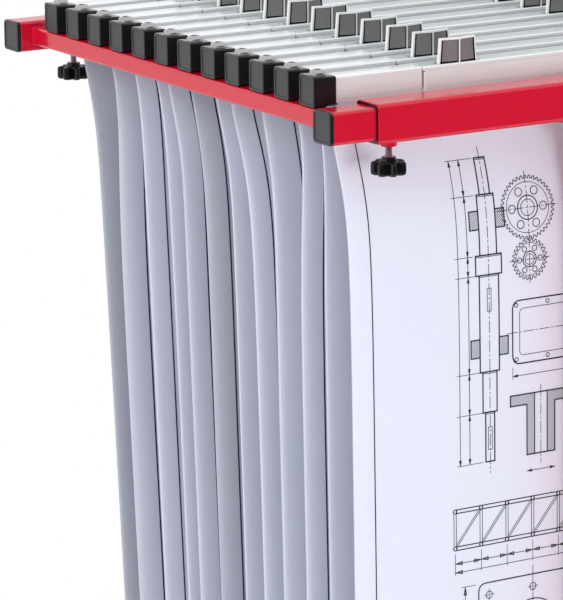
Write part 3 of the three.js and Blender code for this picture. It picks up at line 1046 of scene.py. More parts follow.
@dataclass
class LockKnobs(SubAssembly):
    """The star knobs under the rails and their threaded studs, about the rails' height."""

    radius: float = 15.2
    lobes: int = 7
    lobe_facets: int = 16
    dip: float = 6.2
    dip_power: float = 1.3
    top: float = -34.4
    height: float = 11.6
    collar: float = 6.2
    stud: float = 3.0
    stud_foot: float = 3.0
    stud_tip: float = -14.3
    pitch: float = 1.0
    thread: float = 0.38

    def star(self, radius: float, turn: float) -> float:
        """Dips a ring between the lobes; small rings stay round.

        Args:
            radius: The ring's radius at the lobes.
            turn: Angle round the knob.

        Returns:
            The radius at that angle.
        """
        share = min(max((radius - self.collar) / (self.radius - self.collar), 0.0), 1.0)
        hollow = (0.5 - 0.5 * math.cos(self.lobes * turn)) ** self.dip_power
        return radius - share * self.dip * hollow

    def knob(self) -> Sketch:
        """Draws a knob: sunk underside, lobed grip and collar.

        Returns:
            The knob.
        """
        top, low = self.top, self.top - self.height
        r, c = self.radius, self.collar
        underside = [(4.4, low + 1.6), (5.0, low + 0.4), (6.2, low + 1.2), (r - 5.2, low + 1.0),
                     (r - 3.6, low + 0.15)]
        grip = [(r - 2.2, low), (r - 0.9, low + 0.5), (r - 0.2, low + 1.5), (r, low + 3.0),
                (r, top - 3.0), (r - 0.25, top - 1.5), (r - 1.1, top - 0.45), (r - 2.4, top),
                (r - 4.4, top - 0.5)]
        collar = [(c + 1.4, top - 0.7), (c + 0.3, top - 0.2), (c, top + 1.2), (c, top + 2.9),
                  (c - 0.6, top + 3.5), (self.stud + 0.4, top + 3.5)]
        sketch = Sketch()
        sketch.turned(underside + grip + collar, sides=self.lobes * self.lobe_facets,
                      reach=self.star)
        return sketch

    def threaded_stud(self) -> Sketch:
        """Draws a stud with the ridges of its thread.

        Returns:
            The stud.
        """
        profile = []
        height = self.top + self.stud_foot
        while height < self.stud_tip - 0.9:
            profile += [(self.stud - self.thread, height), (self.stud, height + self.pitch / 2)]
            height += self.pitch
        profile += [(self.stud - 0.4, self.stud_tip - 0.5), (self.stud - 0.9, self.stud_tip)]
        sketch = Sketch()
        sketch.turned(profile)
        return sketch

    def build(self) -> None:
        """Builds the four knobs."""
        knob, stud = self.knob(), self.threaded_stud()
        for corner, side, y in CORNERS:
            body, place = f"{corner}_lock", (side * LOCK_X, y, RAIL_HEIGHT)
            self.keep(knob.moved(*place), f"{corner}_star_knob", body, Surface.KNOB_PLASTIC,
                      [f"{corner}_lock_knob"])
            self.keep(stud.moved(*place), f"{corner}_stud", body, Surface.ZINC_PLATE)


@dataclass
class Stand(SubAssembly):
    """The posts under the rails, the base rails, the cross tube and their plugs and bolts."""

    post_section: TubeSection = TubeSection(15.0, 2.0, 3.5)
    base_section: TubeSection = TubeSection(17.0, 2.4, 4.0)
    plate_half: float = 33.0
    plate_thick: float = 5.0
    plate_corner: float = 4.0
    plate_ease: float = 0.6
    gusset: float = 15.0
    gusset_toe: float = 3.0
    gusset_thick: float = 4.0
    gusset_corner: float = 0.8
    post_bead: float = 1.6
    cross_bead: float = 1.7
    base_reach: float = 280.0
    base_bottom: float = 100.0
    base_cut: float = 3.6
    plug_inset: float = 2.8
    rail_underside: float = 17.3
    bolt_x: float = 24.5
    bolt_y: float = 9.0
    washer: Profile = ((4.9, 0.0), (4.9, 0.8), (4.6, 1.0), (3.0, 1.0))
    bolt_head: Profile = ((4.0, 1.0), (4.2, 1.3), (4.2, 3.9), (3.6, 4.4), (2.0, 4.5))

    def post(self, low: float, high: float) -> Sketch:
        """Draws a post with its end plates, webs and weld beads.

        Args:
            low: Level of its lower plate's underside.
            high: Level of its upper plate's top.

        Returns:
            The post.
        """
        half, toe, size = self.post_section.half, self.gusset_toe, self.gusset
        inner_low, inner_high = low + self.plate_thick, high - self.plate_thick
        sketch = Sketch()
        sketch.tube(Axis.Z, self.post_section, inner_low, inner_high)
        plate = rounded_ring(self.plate_half, half, self.plate_corner)
        sketch.slab(plate, Axis.Z, low, inner_low, self.plate_ease)
        sketch.slab(plate, Axis.Z, inner_high, high, self.plate_ease)
        for level, rise in ((inner_low, 1), (inner_high, -1)):
            sketch.weld_bead(Axis.Z, self.post_section, level, self.post_bead)
            for side in (-1, 1):
                root = side * half
                corners = [(root, level), (root + side * size, level),
                           (root + side * size, level + rise * toe),
                           (root + side * toe, level + rise * size), (root, level + rise * size)]
                outline = corners if side * rise > 0 else corners[::-1]
                sketch.slab(soften(outline, self.gusset_corner, 2), Axis.Y,
                            -self.gusset_thick / 2, self.gusset_thick / 2)
        return sketch

    def build(self) -> None:
        """Builds the posts, base rails, cross tube, plugs and bolts."""
        half, thick = self.base_section.half, self.plate_thick
        low, high = self.base_bottom + 2 * half + WELD_GAP, RAIL_HEIGHT - self.rail_underside
        level, rail_end = self.base_bottom + half, self.base_reach - self.base_cut
        post, rail, plugs, cross, bolt = self.post(low, high), *(Sketch() for _ in range(4))
        rail.tube(Axis.X, self.base_section, -rail_end, rail_end)
        for row, y in ROWS.items():
            self.keep(post.moved(0.0, y, 0.0), f"{row}_post", "stand", Surface.RED_STEEL,
                      [f"{row}_upright"])
            self.keep(rail.moved(0.0, y, level), f"{row}_foot_rail", "stand", Surface.RED_STEEL,
                      [f"{row}_base_rail"])
            for side in ENDS.values():
                plug = Sketch()
                plug.plug(half, half - self.plug_inset, -side)
                plugs = plugs.joined(plug.moved(side * self.base_reach, y, level))
        self.keep(plugs, "foot_rail_plugs", "stand", Surface.MOULDING)
        cross.welded_tube(self.base_section, ROWS["rear"] - half - WELD_GAP, self.cross_bead)
        self.keep(cross.moved(0.0, 0.0, level), "foot_cross_tube", "stand", Surface.RED_STEEL,
                  ["base_cross_tube"])
        bolt.turned(self.washer, sides=28)
        bolt.turned(self.bolt_head, sides=6)
        places = [((side * self.bolt_x, y + step, plate), turn)
                  for y in ROWS.values() for side in ENDS.values()
                  for step in (-self.bolt_y, self.bolt_y)
                  for plate, turn in ((low + thick, ORIGIN), (high - thick, (math.pi, 0.0, 0.0)))]
        self.repeat(bolt, places, "plate_bolts", "stand", Surface.ZINC_PLATE, spin=1.0)


@dataclass
class Castors(SubAssembly):
    """The four swivel castors: fork, swivel head, axle, tyre and ribbed hub."""

    x: float = 246.0
    trail: float = 24.0
    radius: float = 37.5
    inside: float = 15.0
    leg: float = 3.0
    leg_ease: float = 0.6
    head: float = 22.0
    crown_top: float = 92.0
    crown_corner: float = 4.0
    tip: float = 11.0
    ribs: int = 10
    rib: tuple[Flat, Flat] = ((15.2, -1.1), (25.8, 1.1))
    rib_levels: Flat = (6.6, 10.6)
    swivel: Profile = ((16.5, 92.0), (18.0, 93.0), (18.0, 94.6), (17.0, 95.3), (20.6, 95.6),
                       (22.0, 96.5), (22.0, 99.0), (21.3, 99.7))
    # Measured from the fork's outer faces
    axle_end: Profile = ((4.0, 3.4), (3.4, 4.0))
    nut: Profile = ((6.0, 0.0), (6.9, 0.5), (6.9, 3.0), (6.0, 3.5))
    # One half of each wheel profile
    tread: Profile = ((27.0, -12.0), (33.5, -12.0), (35.6, -11.2), (36.9, -9.4), (37.4, -7.0),
                      (37.5, -4.0))
    hub_face: Profile = ((4.4, 13.5), (9.0, 13.5), (9.6, 12.9), (14.2, 12.9), (15.0, 12.1),
                         (16.5, 7.0), (25.2, 7.0), (26.0, 11.1), (26.6, 11.7), (27.0, 11.7))

    def leg_outline(self) -> list[Flat]:
        """Draws the side of a fork leg as (X, Z) about the swivel axis.

        Returns:
            The outline.
        """
        steps, top, head = 12, self.crown_top, self.head
        arc = [around((self.trail, self.radius), self.tip, math.pi + math.pi * step / steps)
               for step in range(steps + 1)]
        return [(-head + 3, top), (-head + 6, top - 8), *arc, (head + 4, top - 14), (head - 3, top)]

    def fork(self) -> Sketch:
        """Draws a left fork about its swivel axis.

        Returns:
            The fork with its swivel head, axle and nuts.
        """
        reach, ease = self.inside + self.leg, self.leg_ease
        sketch, axle = Sketch(), Sketch()
        for near, far in ((-reach, -self.inside), (self.inside, reach)):
            sketch.slab(self.leg_outline(), Axis.Y, near, far, ease)
        crown = rounded_ring(self.head - 3, reach, self.crown_corner)
        sketch.slab(crown, Axis.Z, self.crown_top - self.leg, self.crown_top, ease)
        sketch.turned(self.swivel, sides=40)
        far_end = [(size, reach + out) for size, out in self.axle_end]
        axle.turned([(size, -out) for size, out in reversed(far_end)] + far_end, Axis.Y, 20)
        for side in (-1, 1):
            axle.turned([(size, side * (reach + out)) for size, out in self.nut], Axis.Y, 6)
        return sketch.joined(axle.moved(self.trail, 0.0, self.radius))

    def build(self) -> None:
        """Builds the forks, tyres and hubs."""
        fork, tyre, hub, rib = self.fork(), Sketch(), Sketch(), Sketch()
        tyre.turned(doubled(self.tread), Axis.Y, 72, hollow=True)
        hub.turned(doubled(self.hub_face), Axis.Y, 56, hollow=True)
        rib.slab(soften(box_outline(*self.rib), 0.4, 2), Axis.Z, *self.rib_levels)
        for name, side, y in CORNERS:
            wheel, centre = f"{name}_wheel", (side * (self.x - self.trail), y, self.radius)
            self.keep(fork.moved(-self.x, y, 0.0).at_end(side), f"{name}_fork", f"{name}_castor",
                      Surface.ZINC_PLATE, [f"{name}_castor_fork"])
            self.keep(tyre.moved(*centre), f"{name}_tyre", wheel, Surface.TYRE_RUBBER,
                      [f"{name}_castor_wheel"])
            self.keep(hub.moved(*centre), f"{name}_hub", wheel, Surface.HUB_PLASTIC)
            places = [(centre, (way * math.pi / 2, spoke, 0.0))
                      for spoke in turns(self.ribs) for way in (1, -1)]
            self.repeat(rib, places, f"{name}_hub_ribs", wheel, Surface.HUB_PLASTIC)


# The clamps

class BarPart(Enum):
    """The three sections that follow each other along a clamp bar."""

    CHANNEL = 0
    OPEN = 1
    SLOTTED = 2


def painted_highlight_top(normal: Flat) -> int:
    """Marks the upper surfaces of a channel end or a jaw for the painted highlight."""
    return 1 if normal[1] > 0.2 else 0


def painted_top_tones(normal: Flat) -> int:
    """Marks a bar middle's flat top for the painted shade and its upper edges for the painted
    highlight.
    """
    return 2 if normal[1] > 0.95 else painted_highlight_top(normal)


@dataclass
class PlanClamps(SubAssembly):
    """The twelve plan clamps: channel bars, front jaws, sleeve caps, wing tabs and cap screws.

    A clamp is drawn once, about its own centre at the rails' height, and moved to each place.
    """

    reach: float = 257.0
    half: float = 10.7
    bottom: float = 10.2
    top: float = 32.6
    chamfer: float = 3.0
    edge: float = 1.3
    groove: float = 1.1
    groove_y: float = 3.4
    slot_jaw: float = -2.2
    slot_back: float = 1.7
    slot_top: float = 26.8
    flare: float = 1.2
    seam_x: float = 149.0
    seam_gap: float = 1.3
    channel_ease: float = 1.8
    jaw_top: float = 28.95
    jaw_roof: float = 29.1
    jaw_ease: float = 0.64
    jaw_end_ease: float = 1.4
    lip: float = 0.35
    jaw_room: float = 0.65
    cap_length: float = 22.0
    cap_half: float = 12.2
    cap_bottom: float = 8.3
    cap_top: float = 34.9
    cap_taper: float = 1.2
    cap_upper: float = 2.0
    cap_lower: float = 3.2
    cap_wall: float = 3.2
    cap_play: float = 0.3
    cap_lip: float = 7.2
    cap_lip_root: float = 0.4
    cap_lip_reach: float = 4.0
    cap_lip_ease: float = 0.3
    pocket_corner: float = 0.6
    bar_inset: float = 3.5
    wing_x: float = 111.0
    wing_half: float = 20.5
    wing_shoulder: float = 17.5
    wing_foot: float = 28.7
    wing_top: float = 53.5
    wing_ridge: float = 3.0
    wing_thick: float = 1.9
    wing_rim: float = 0.9
    wing_y: float = -4.4
    wing_slot: float = 23.0
    slot_front: float = -8.2
    slot_rear: float = 1.2
    screw_sink: float = 0.1
    screw: Profile = ((7.4, 0.0), (7.4, 0.6), (7.0, 0.9), (6.8, 2.2), (6.2, 3.3), (5.0, 4.2),
                      (3.6, 4.6), (2.9, 4.5), (2.6, 2.4))

    def foot(self) -> list[Flat]:
        """Draws the foot of the front leg, from its outer chamfer to the sheets' slot.

        Returns:
            That part of the outline.
        """
        low, flare = self.bottom, self.flare
        return [(-self.half, low + self.chamfer), (-self.half + self.chamfer, low),
                (self.slot_jaw - flare, low), (self.slot_jaw, low + flare)]

    def crest(self) -> list[Flat]:
        """Draws the rear part of the section, from the back leg's foot up to the groove.

        Returns:
            That part of the outline.
        """
        groove, y, edge = self.groove, self.groove_y, self.edge
        half, top, bottom = self.half, self.top, self.bottom
        return [(self.slot_back, bottom + self.flare), (self.slot_back + self.flare, bottom),
                (half - self.chamfer, bottom), (half, bottom + self.chamfer), (half, top - edge),
                (half - 0.35 * edge, top - 0.35 * edge), (half - edge, top), (y + groove, top),
                (y + groove, top - groove), (y - groove, top - groove), (y - groove, top)]

    def front_edge(self) -> list[Flat]:
        """Returns the eased upper front edge."""
        half, top, edge = self.half, self.top, self.edge
        return [(-half + edge, top), (-half + 0.35 * edge, top - 0.35 * edge), (-half, top - edge)]

    def roof(self) -> list[Flat]:
        """Returns the bar's front underside: a lip over the jaw's seam and room for the jaw."""
        behind, roof = -self.half + self.lip, self.jaw_roof
        return [(-self.half, roof), (behind, roof), (behind, roof + self.jaw_room)]

    def sections(self, part: BarPart) -> list[list[Flat]]:
        """Draws one part of the bar.

        Args:
            part: Which part.

        Returns:
            The outlines that make it up, as (Y, Z).
        """
        if part is BarPart.CHANNEL:
            slot = [(self.slot_jaw, self.slot_top), (self.slot_back, self.slot_top)]
            return [self.foot() + slot + self.crest() + self.front_edge()]
        ceiling = self.jaw_roof + self.jaw_room
        if part is BarPart.OPEN:
            return [self.roof() + [(self.slot_back, ceiling)] + self.crest() + self.front_edge()]
        strip = self.roof() + [(self.slot_front, ceiling), (self.slot_front, self.top)]
        rear = [(self.slot_rear, ceiling), (self.slot_back, ceiling)]
        return [strip + self.front_edge(), rear + self.crest() + [(self.slot_rear, self.top)]]

    def bar(self) -> Sketch:
        """Draws a bar: channel ends, open middle and the slots that the tabs come through.

        Returns:
            The bar.
        """
        right = [self.wing_x - self.wing_slot, self.wing_x + self.wing_slot, self.seam_x,
                 self.reach - self.bar_inset]
        stations = [-x for x in reversed(right)] + right
        parts = [BarPart.CHANNEL, BarPart.OPEN, BarPart.SLOTTED, BarPart.OPEN, BarPart.SLOTTED,
                 BarPart.OPEN, BarPart.CHANNEL]
        sketch = Sketch()
        for part, low, high in zip(parts, stations, stations[1:]):
            ease, mark, rim = 0.0, painted_top_tones, None
            if part is BarPart.CHANNEL:
                # Channel ends take the painted highlight on their upper faces and on their end
                # chamfers.
                ease, mark, rim = self.channel_ease, painted_highlight_top, 1
            for outline in self.sections(part):
                sketch.slab(outline, Axis.X, low, high, ease, mark, rim)
        return sketch

    def jaw(self) -> Sketch:
        """Draws the front jaw, its upper edge eased so that it swings clear of the bar's lip.

        Returns:
            The jaw.
        """
        half, top, ease = self.half, self.jaw_top, self.jaw_ease
        outline = self.foot() + [(self.slot_jaw, top), (-half + ease, top), (-half, top - ease)]
        reach = self.seam_x - self.seam_gap
        sketch = Sketch()
        # The jaw's upper faces and end chamfers take the painted highlight.
        sketch.slab(outline, Axis.X, -reach, reach, self.jaw_end_ease, painted_highlight_top, rim=1)
        return sketch

    def cap_outline(self, depth: float, shrink: float) -> list[Flat]:
        """Draws one ring of a cap, which is tallest at its outer end.

        Args:
            depth: Distance from the cap's outer end.
            shrink: How far the ring is drawn in.

        Returns:
            The ring as (Y, Z).
        """
        low = self.cap_bottom + shrink
        high = self.cap_top - self.cap_taper * depth / self.cap_length - shrink
        upper, lower = (max(radius - shrink, 0.5) for radius in (self.cap_upper, self.cap_lower))
        ring = rounded_ring(self.cap_half - shrink, (high - low) / 2, upper, foot_radius=lower)
        return shifted(ring, 0.0, (high + low) / 2)

    def caps(self) -> Sketch:
        """Draws a clamp's sleeve caps with their framed faces, pockets and lips.

        Returns:
            Both caps.
        """
        outer, inner, play = -self.reach, -self.reach + self.cap_length, self.cap_play
        rings = [(0.75, 2.6), (0.0, 2.2), (0.0, 1.3), (0.3, 0.6), (1.1, 0.0),
                 (self.cap_length - 0.7, 0.0), (self.cap_length, 0.6)]
        stations = [(self.cap_outline(depth, shrink), outer + depth) for depth, shrink in rings]
        pocket = rounded_ring(self.half + play, (self.top - self.bottom) / 2 + play,
                              self.pocket_corner)
        pocket = shifted(pocket, 0.0, (self.top + self.bottom) / 2)
        stations += [(pocket, inner), (pocket, outer + self.cap_wall)]
        lip = box_outline((-self.cap_lip, self.cap_bottom), (self.cap_lip, self.bottom - play))
        sketch = Sketch()
        sketch.loft(Axis.X.rings(stations), face_mark, first=1)
        sketch.slab(soften(lip, 0.5, 2), Axis.X, inner - self.cap_lip_root,
                    inner + self.cap_lip_reach, self.cap_lip_ease)
        return sketch.joined(sketch.mirrored())

    def wing(self) -> Sketch:
        """Draws a folded wing tab: two sunk panels in rims that meet at a ridge, with painted
        highlight on the rims and edges and painted shade in the grooves.

        Returns:
            The tab, about its own middle.
        """
        across = [-1.0, -0.92, -0.82, -0.45, -0.07, -0.04, 0.0, 0.04, 0.07, 0.45, 0.86, 0.92, 1.0]
        up = [0.0, 0.1, 0.13, 0.2, 0.6, 0.9, 0.94, 1.0]
        height = self.wing_top - self.wing_foot
        narrowing = 1 - self.wing_shoulder / self.wing_half

        def spot(share: float, rise: float, lift: float) -> Point:
            """Places a point of the tab.

            Args:
                share: Its place across the tab, from -1 to 1.
                rise: Its place up the tab, from 0 to 1.
                lift: How far it stands in front of the folded sheet.

            Returns:
                The point.
            """
            y = self.wing_y - self.wing_ridge * (1 - abs(share)) - lift
            return (share * self.wing_half * (1 - narrowing * math.sqrt(rise)), y,
                    self.wing_foot + height * rise)

        def panel(share: float, rise: float) -> bool:
            """Tells whether a point lies inside one of the two panels."""
            return 0.06 < abs(share) and -0.83 < share < 0.88 and 0.18 < rise < 0.92

        def finish(share: float, rise: float) -> int:
            """Gives the finish of a facet: panel, rim with painted highlight, or the groove between
            them with painted shade in black.
            """
            rim = 2 if 0.045 < abs(share) < 0.91 and 0.15 < rise < 0.93 else 1
            return 0 if panel(share, rise) else rim

        columns, rows = len(across), len(up)
        back = columns * rows
        grid = [(share, rise) for rise in up for share in across]
        sketch = Sketch([spot(*place, 0.0 if panel(*place) else self.wing_rim) for place in grid]
                        + [spot(*place, -self.wing_thick) for place in grid])
        for row in range(rows - 1):
            for column in range(columns - 1):
                here = row * columns + column
                quad = (here, here + 1, here + columns + 1, here + columns)
                sketch.faces += [quad, tuple(back + index for index in reversed(quad))]
                sketch.marks += [finish(*middle_of(grid[quad[0]], grid[quad[2]])), 0]
        last = back - columns
        rim = [*range(columns - 1), *range(columns - 1, back - 1, columns),
               *range(back - 1, last, -1), *range(last, 0, -columns)]
        # The tab's edges take the rim's painted highlight.
        for here, after in zip(rim, rim[1:] + rim[:1]):
            sketch.faces.append((here, back + here, back + after, after))
            sketch.marks.append(1)
        return sketch

    def build(self) -> None:
        """Builds the twelve clamps; the first one's pieces stand for nodes of their own."""
        bar, jaw, caps, wing, screw = self.bar(), self.jaw(), self.caps(), self.wing(), Sketch()
        wings = wing.moved(-self.wing_x, 0.0, 0.0).joined(wing.moved(self.wing_x, 0.0, 0.0))
        screw.turned(self.screw)
        screw_x = self.reach - self.cap_length / 2
        screw_foot = RAIL_HEIGHT + self.cap_top - self.cap_taper / 2 - self.screw_sink
        for number in range(1, CLAMP_COUNT + 1):
            name, y, whole = f"clamp_{number:02d}", clamp_centre(number), number == 1
            place, jaw_body = (0.0, y, RAIL_HEIGHT), f"{name}_front_jaw" if whole else name
            solid = bar if whole else bar.joined(jaw)
            self.keep(solid.moved(*place), f"{name}_bar", name, Surface.BAR_METAL,
                      [f"{name}_rail" if whole else name])
            if whole:
                self.keep(jaw.moved(*place), f"{name}_front_leg", jaw_body, Surface.BAR_METAL,
                          [f"{name}_jaw"])
            self.keep(wings.moved(*place), f"{name}_wings", jaw_body, Surface.WING_SHEET,
                      [f"{name}_{end}_wing" for end in ENDS if whole])
            self.keep(caps.moved(*place), f"{name}_caps", name, Surface.MOULDING,
                      [f"{name}_{end}_cap" for end in ENDS if whole])
            places = [((side * screw_x, y, screw_foot), ORIGIN) for side in ENDS.values()]
            self.repeat(screw, places, f"{name}_cap_screws", name, Surface.SCREW_STEEL, spin=3.0,
                        seed=number)

    def dress(self) -> None:
        """Dresses the clamps, and the two springs that stay as they are in the frame."""
        super().dress()
        for end in ENDS:
            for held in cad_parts[f"clamp_01_{end}_jaw_spring"].material_slots:
                held.material = self.palette[Finish.ZINC]


# The plans

@dataclass
class Drafting:
    """Strokes of a plain workshop drawing, in millimetres from a sheet's upper left corner."""

    thin: float = 0.55
    hair: float = 0.45
    border_top: float = 24.0
    border_right: float = 437.5
    border_foot: float = 590.0
    long_dash: float = 16.0
    short_dash: float = 3.0
    arrow: Flat = (7.0, 1.3)
    origin: Flat = (0.0, 0.0)
    scale: float = 1.0
    strokes: list[tuple[list[Flat], float, bool]] = field(default_factory=list, init=False)

    def path(self, corners: Outline, width: float | None = None, closed: bool = True) -> None:
        """Draws an outline, moved and scaled to where the drawing stands.

        Args:
            corners: Its corners.
            width: The pen's width, where it isn't the thin one.
            closed: Whether the last corner joins the first.
        """
        moved = [(self.origin[0] + self.scale * u, self.origin[1] + self.scale * v)
                 for u, v in corners]
        self.strokes.append((moved, width or self.thin, closed))

    def line(self, start: Flat, end: Flat, width: float | None = None) -> None:
        """Draws a straight stroke."""
        self.path([start, end], width, False)

    def frame(self, low: Flat, high: Flat, width: float | None = None) -> None:
        """Draws an upright rectangle."""
        self.path(box_outline(low, high), width)

    def circle(self, centre: Flat, radius: float, width: float | None = None) -> None:
        """Draws a circle."""
        count = max(20, int(radius * 1.3))
        self.path([around(centre, radius, turn) for turn in turns(count)], width)

    def chain(self, start: Flat, end: Flat) -> None:
        """Draws a centre line of long and short dashes.

        Args:
            start: Where it starts.
            end: Where it ends.
        """
        length, travelled, is_long = math.dist(start, end), 0.0, True
        while travelled < length:
            stop = min(travelled + (self.long_dash if is_long else self.short_dash), length)
            self.line(*(tuple(a + (b - a) * (far / length) for a, b in zip(start, end))
                        for far in (travelled, stop)))
            travelled, is_long = stop + self.short_dash, not is_long

    def measure(self, start: Flat, end: Flat) -> None:
        """Draws a measuring line with an arrow head at each end.

        Args:
            start: One tip.
            end: The other tip.
        """
        self.line(start, end)
        length, half = self.arrow
        along = (Vector(end) - Vector(start)).normalized()
        across = Vector((-along.y, along.x)) * half
        for tip, way in ((Vector(start), 1), (Vector(end), -1)):
            base = tip + along * way * length
            self.path([tip, base + across, base - across], 0.9)

    def hatch(self, low: Flat, high: Flat, pitch: float) -> None:
        """Fills a rectangle with slanting lines.

        Args:
            low: Its first corner.
            high: The opposite corner.
            pitch: Distance between the lines along an edge.
        """
        width, height = high[0] - low[0], high[1] - low[1]
        offset = pitch
        while offset < width + height:
            self.line((low[0] + min(offset, width), low[1] + max(offset - width, 0.0)),
                      (low[0] + max(offset - height, 0.0), low[1] + min(offset, height)), self.hair)
            offset += pitch

    def border(self, margin: float, width: float) -> None:
        """Draws the frame line round the sheet."""
        self.frame((margin, self.border_top), (self.border_right, self.border_foot), width)

    def machine_sheet(self) -> None:
        """Draws a stepped shaft, gears, a cover, a housing, a girder, plates and a ruled table."""
        self.origin, self.scale = (38.0, 24.0), 0.66
        self.shaft()
        self.gear((214.0, 142.0), 40, 41.0)
        self.gear((214.0, 209.5), 26, 27.0)
        self.cover()
        self.housing()
        self.origin, self.scale = (0.0, 0.0), 1.0
        self.girder()
        self.base_plate()
        self.bracket()
        left, top, pitch = 300.0, 500.0, 18
        for row in range(6):
            self.line((left, top + pitch * row), (self.border_right, top + pitch * row))
        for column in (left, 330.0, 400.0):
            self.line((column, top), (column, self.border_foot))

    def girder(self) -> None:
        """Draws a lattice girder in side view."""
        low, high, top, foot, bay, bays, chord = 100.0, 424.0, 372.0, 408.0, 27.0, 12, 3.2
        for level in (top, top + chord, foot - chord, foot):
            self.line((low, level), (high, level), 0.9)
        for index in range(bays + 1):
            u = low + bay * index
            for level in (top + chord / 2, foot - chord / 2):
                self.circle((u, level), 1.9)
            for strut in (u - 1.2, u + 1.2):
                self.line((strut, top), (strut, foot))
            if index < bays:
                self.line((u, foot - chord), (u + bay - 2.2, top + chord))
                self.line((u + 2.2, foot - chord), (u + bay, top + chord))
                self.measure((u, foot + 12), (u + bay, foot + 12))
            self.line((u, foot + 3), (u, foot + 22), self.hair)
        self.measure((low, foot + 20), (high, foot + 20))

    def base_plate(self) -> None:
        """Draws a base plate with its bolt holes, its boss and its measuring lines."""
        low, high = (left, top), (right, foot) = (124.0, 442.0), (238.0, 540.0)
        self.path(soften(box_outline(low, high), 8.0, 5), 1.1)
        middle = middle_of(low, high)
        for radius, width in ((27.0, 1.0), (22.0, 0.55), (13.0, 0.9)):
            self.circle(middle, radius, width)
        for u in (left + 11, middle[0], right - 11):
            for v in (top + 11, middle[1], foot - 11):
                if (u, v) != middle:
                    self.circle((u, v), 3.2, 0.7)
                    self.line((u - 5.5, v), (u + 5.5, v), 0.4)
                    self.line((u, v - 5.5), (u, v + 5.5), 0.4)
        self.chain((left - 10, middle[1]), (right + 10, middle[1]))
        self.chain((middle[0], top - 8), (middle[0], foot + 8))
        self.measure((left - 14, top), (left - 14, foot))
        self.measure((left, foot + 16), (right, foot + 16))
        for v in (top, foot):
            self.line((left - 18, v), (left - 3, v), self.hair)
        for u in (left, right):
            self.line((u, foot + 3), (u, foot + 20), self.hair)

    def shaft(self) -> None:
        """Draws a shaft on end with its bearings in section and its measuring lines."""
        axis, ruled = 150.0, 98.0
        steps = ((72.0, 118.0, 8.0), (118.0, 196.0, 13.0), (196.0, 222.0, 20.0),
                 (222.0, 350.0, 15.0), (350.0, 404.0, 11.0), (404.0, 470.0, 7.0))
        start, end = steps[0][0], steps[-1][1]
        for top, foot, half in steps:
            self.frame((axis - half, top), (axis + half, foot), 1.2)
            self.line((axis - half, top + 2.2), (axis + half, top + 2.2))
            self.line((ruled, top), (axis - half - 4, top), self.hair)
            self.measure((118.0, top), (118.0, foot))
        self.line((ruled, end), (axis - 11, end), self.hair)
        self.measure((103.0, start), (103.0, end))
        self.chain((axis, start - 14), (axis, end + 16))
        for top, half in ((138.0, 13.0), (306.0, 15.0)):
            for side in (-1, 1):
                low, high = sorted((axis + side * half, axis + side * (half + 14.0)))
                self.frame((low, top), (high, top + 24.0), 1.1)
                self.hatch((low, top), (high, top + 24.0), 3.4)
        for top in (240.0, 424.0):
            self.frame((axis - 3.0, top), (axis + 3.0, top + 30.0))

    def gear(self, centre: Flat, teeth: int, radius: float) -> None:
        """Draws a spur gear from the front.

        Args:
            centre: Its axis.
            teeth: How many teeth.
            radius: To the tips of the teeth.
        """
        (u, v), root, holes, reach = centre, radius - 3.6, 6, radius * 1.15
        self.path([around(centre, radius if index % 4 < 2 else root, turn)
                   for index, turn in enumerate(turns(teeth * 4))], 0.7)
        for share, width in ((0.8, 0.5), (0.38, 0.9), (0.26, 0.6)):
            self.circle(centre, radius * share, width)
        for turn in turns(holes):
            self.circle(around(centre, 0.59 * radius, turn), radius * 0.13, 0.7)
        self.chain((u - reach, v), (u + reach, v))
        self.chain((u, v - reach), (u, v + reach))

    def cover(self) -> None:
        """Draws a bolted cover plate."""
        low, high = (left, top), (right, foot) = (186.0, 262.0), (296.0, 346.0)
        inner = box_outline((left + 11, top + 11), (right - 11, foot - 11))
        self.path(soften(box_outline(low, high), 12.0, 5), 1.2)
        self.path(soften(inner, 7.0, 5))
        middle = middle_of(low, high)
        for u in (left + 6, middle[0], right - 6):
            for v in (top + 6, foot - 6):
                self.circle((u, v), 2.6, 0.7)
        self.chain((left - 8, middle[1]), (right + 8, middle[1]))
        self.measure((left, foot + 16), (right, foot + 16))
        for u in (left, right):
            self.line((u, foot + 4), (u, foot + 20), self.hair)

    def housing(self) -> None:
        """Draws a hatched housing in section."""
        left, edge, bore, middle, far_bore, far_edge, right = (
            182.0 + step for step in (0, 26, 38, 48, 58, 70, 96))
        top, flange, foot = 388.0, 402.0, 470.0
        self.path([(left, top), (right, top), (right, flange), (far_edge, flange),
                   (far_edge, foot), (edge, foot), (edge, flange), (left, flange)], 1.2)
        for start, stop, low in ((left, edge, flange), (edge, bore, foot),
                                 (far_bore, far_edge, foot), (far_edge, right, flange)):
            self.hatch((start, top), (stop, low), 3.6)
        for wall in (bore, far_bore):
            self.line((wall, top), (wall, foot), 1.0)
        self.chain((middle, top - 10), (middle, top + 96))
        self.measure((edge, top + 104), (far_edge, top + 104))

    def bracket(self) -> None:
        """Draws an angle bracket in side view."""
        left, inner, right, top, bend, foot = 318.0, 334.0, 424.0, 96.0, 250.0, 266.0
        self.path([(left, top), (inner, top), (inner, bend), (right, bend), (right, foot),
                   (left, foot)], 1.2)
        self.line((inner, bend - 60.0), (inner + 60.0, bend), 1.2)
        for spot in ((360.0, 258.0), (400.0, 258.0), (326.0, 126.0), (326.0, 160.0)):
            self.circle(spot, 4.5, 0.8)
        self.measure((left, foot + 22.0), (right, foot + 22.0))

    def plain_sheet(self, number: int) -> None:
        """Draws a few plain frames and ruled lines for a sheet further back.

        Args:
            number: The set, counted from the front.
        """
        left = 96.0 + 9.0 * (number % 5)
        self.frame((left, 120.0), (left + 190.0, 330.0), 1.4)
        self.frame((left + 24.0, 150.0), (left + 120.0, 260.0))
        self.chain((left - 20.0, 225.0), (left + 230.0, 225.0))
        self.measure((left, 360.0), (left + 190.0, 360.0))
        for row in range(5):
            self.line((left, 420.0 + 22 * row), (left + 210.0, 420.0 + 22 * row))


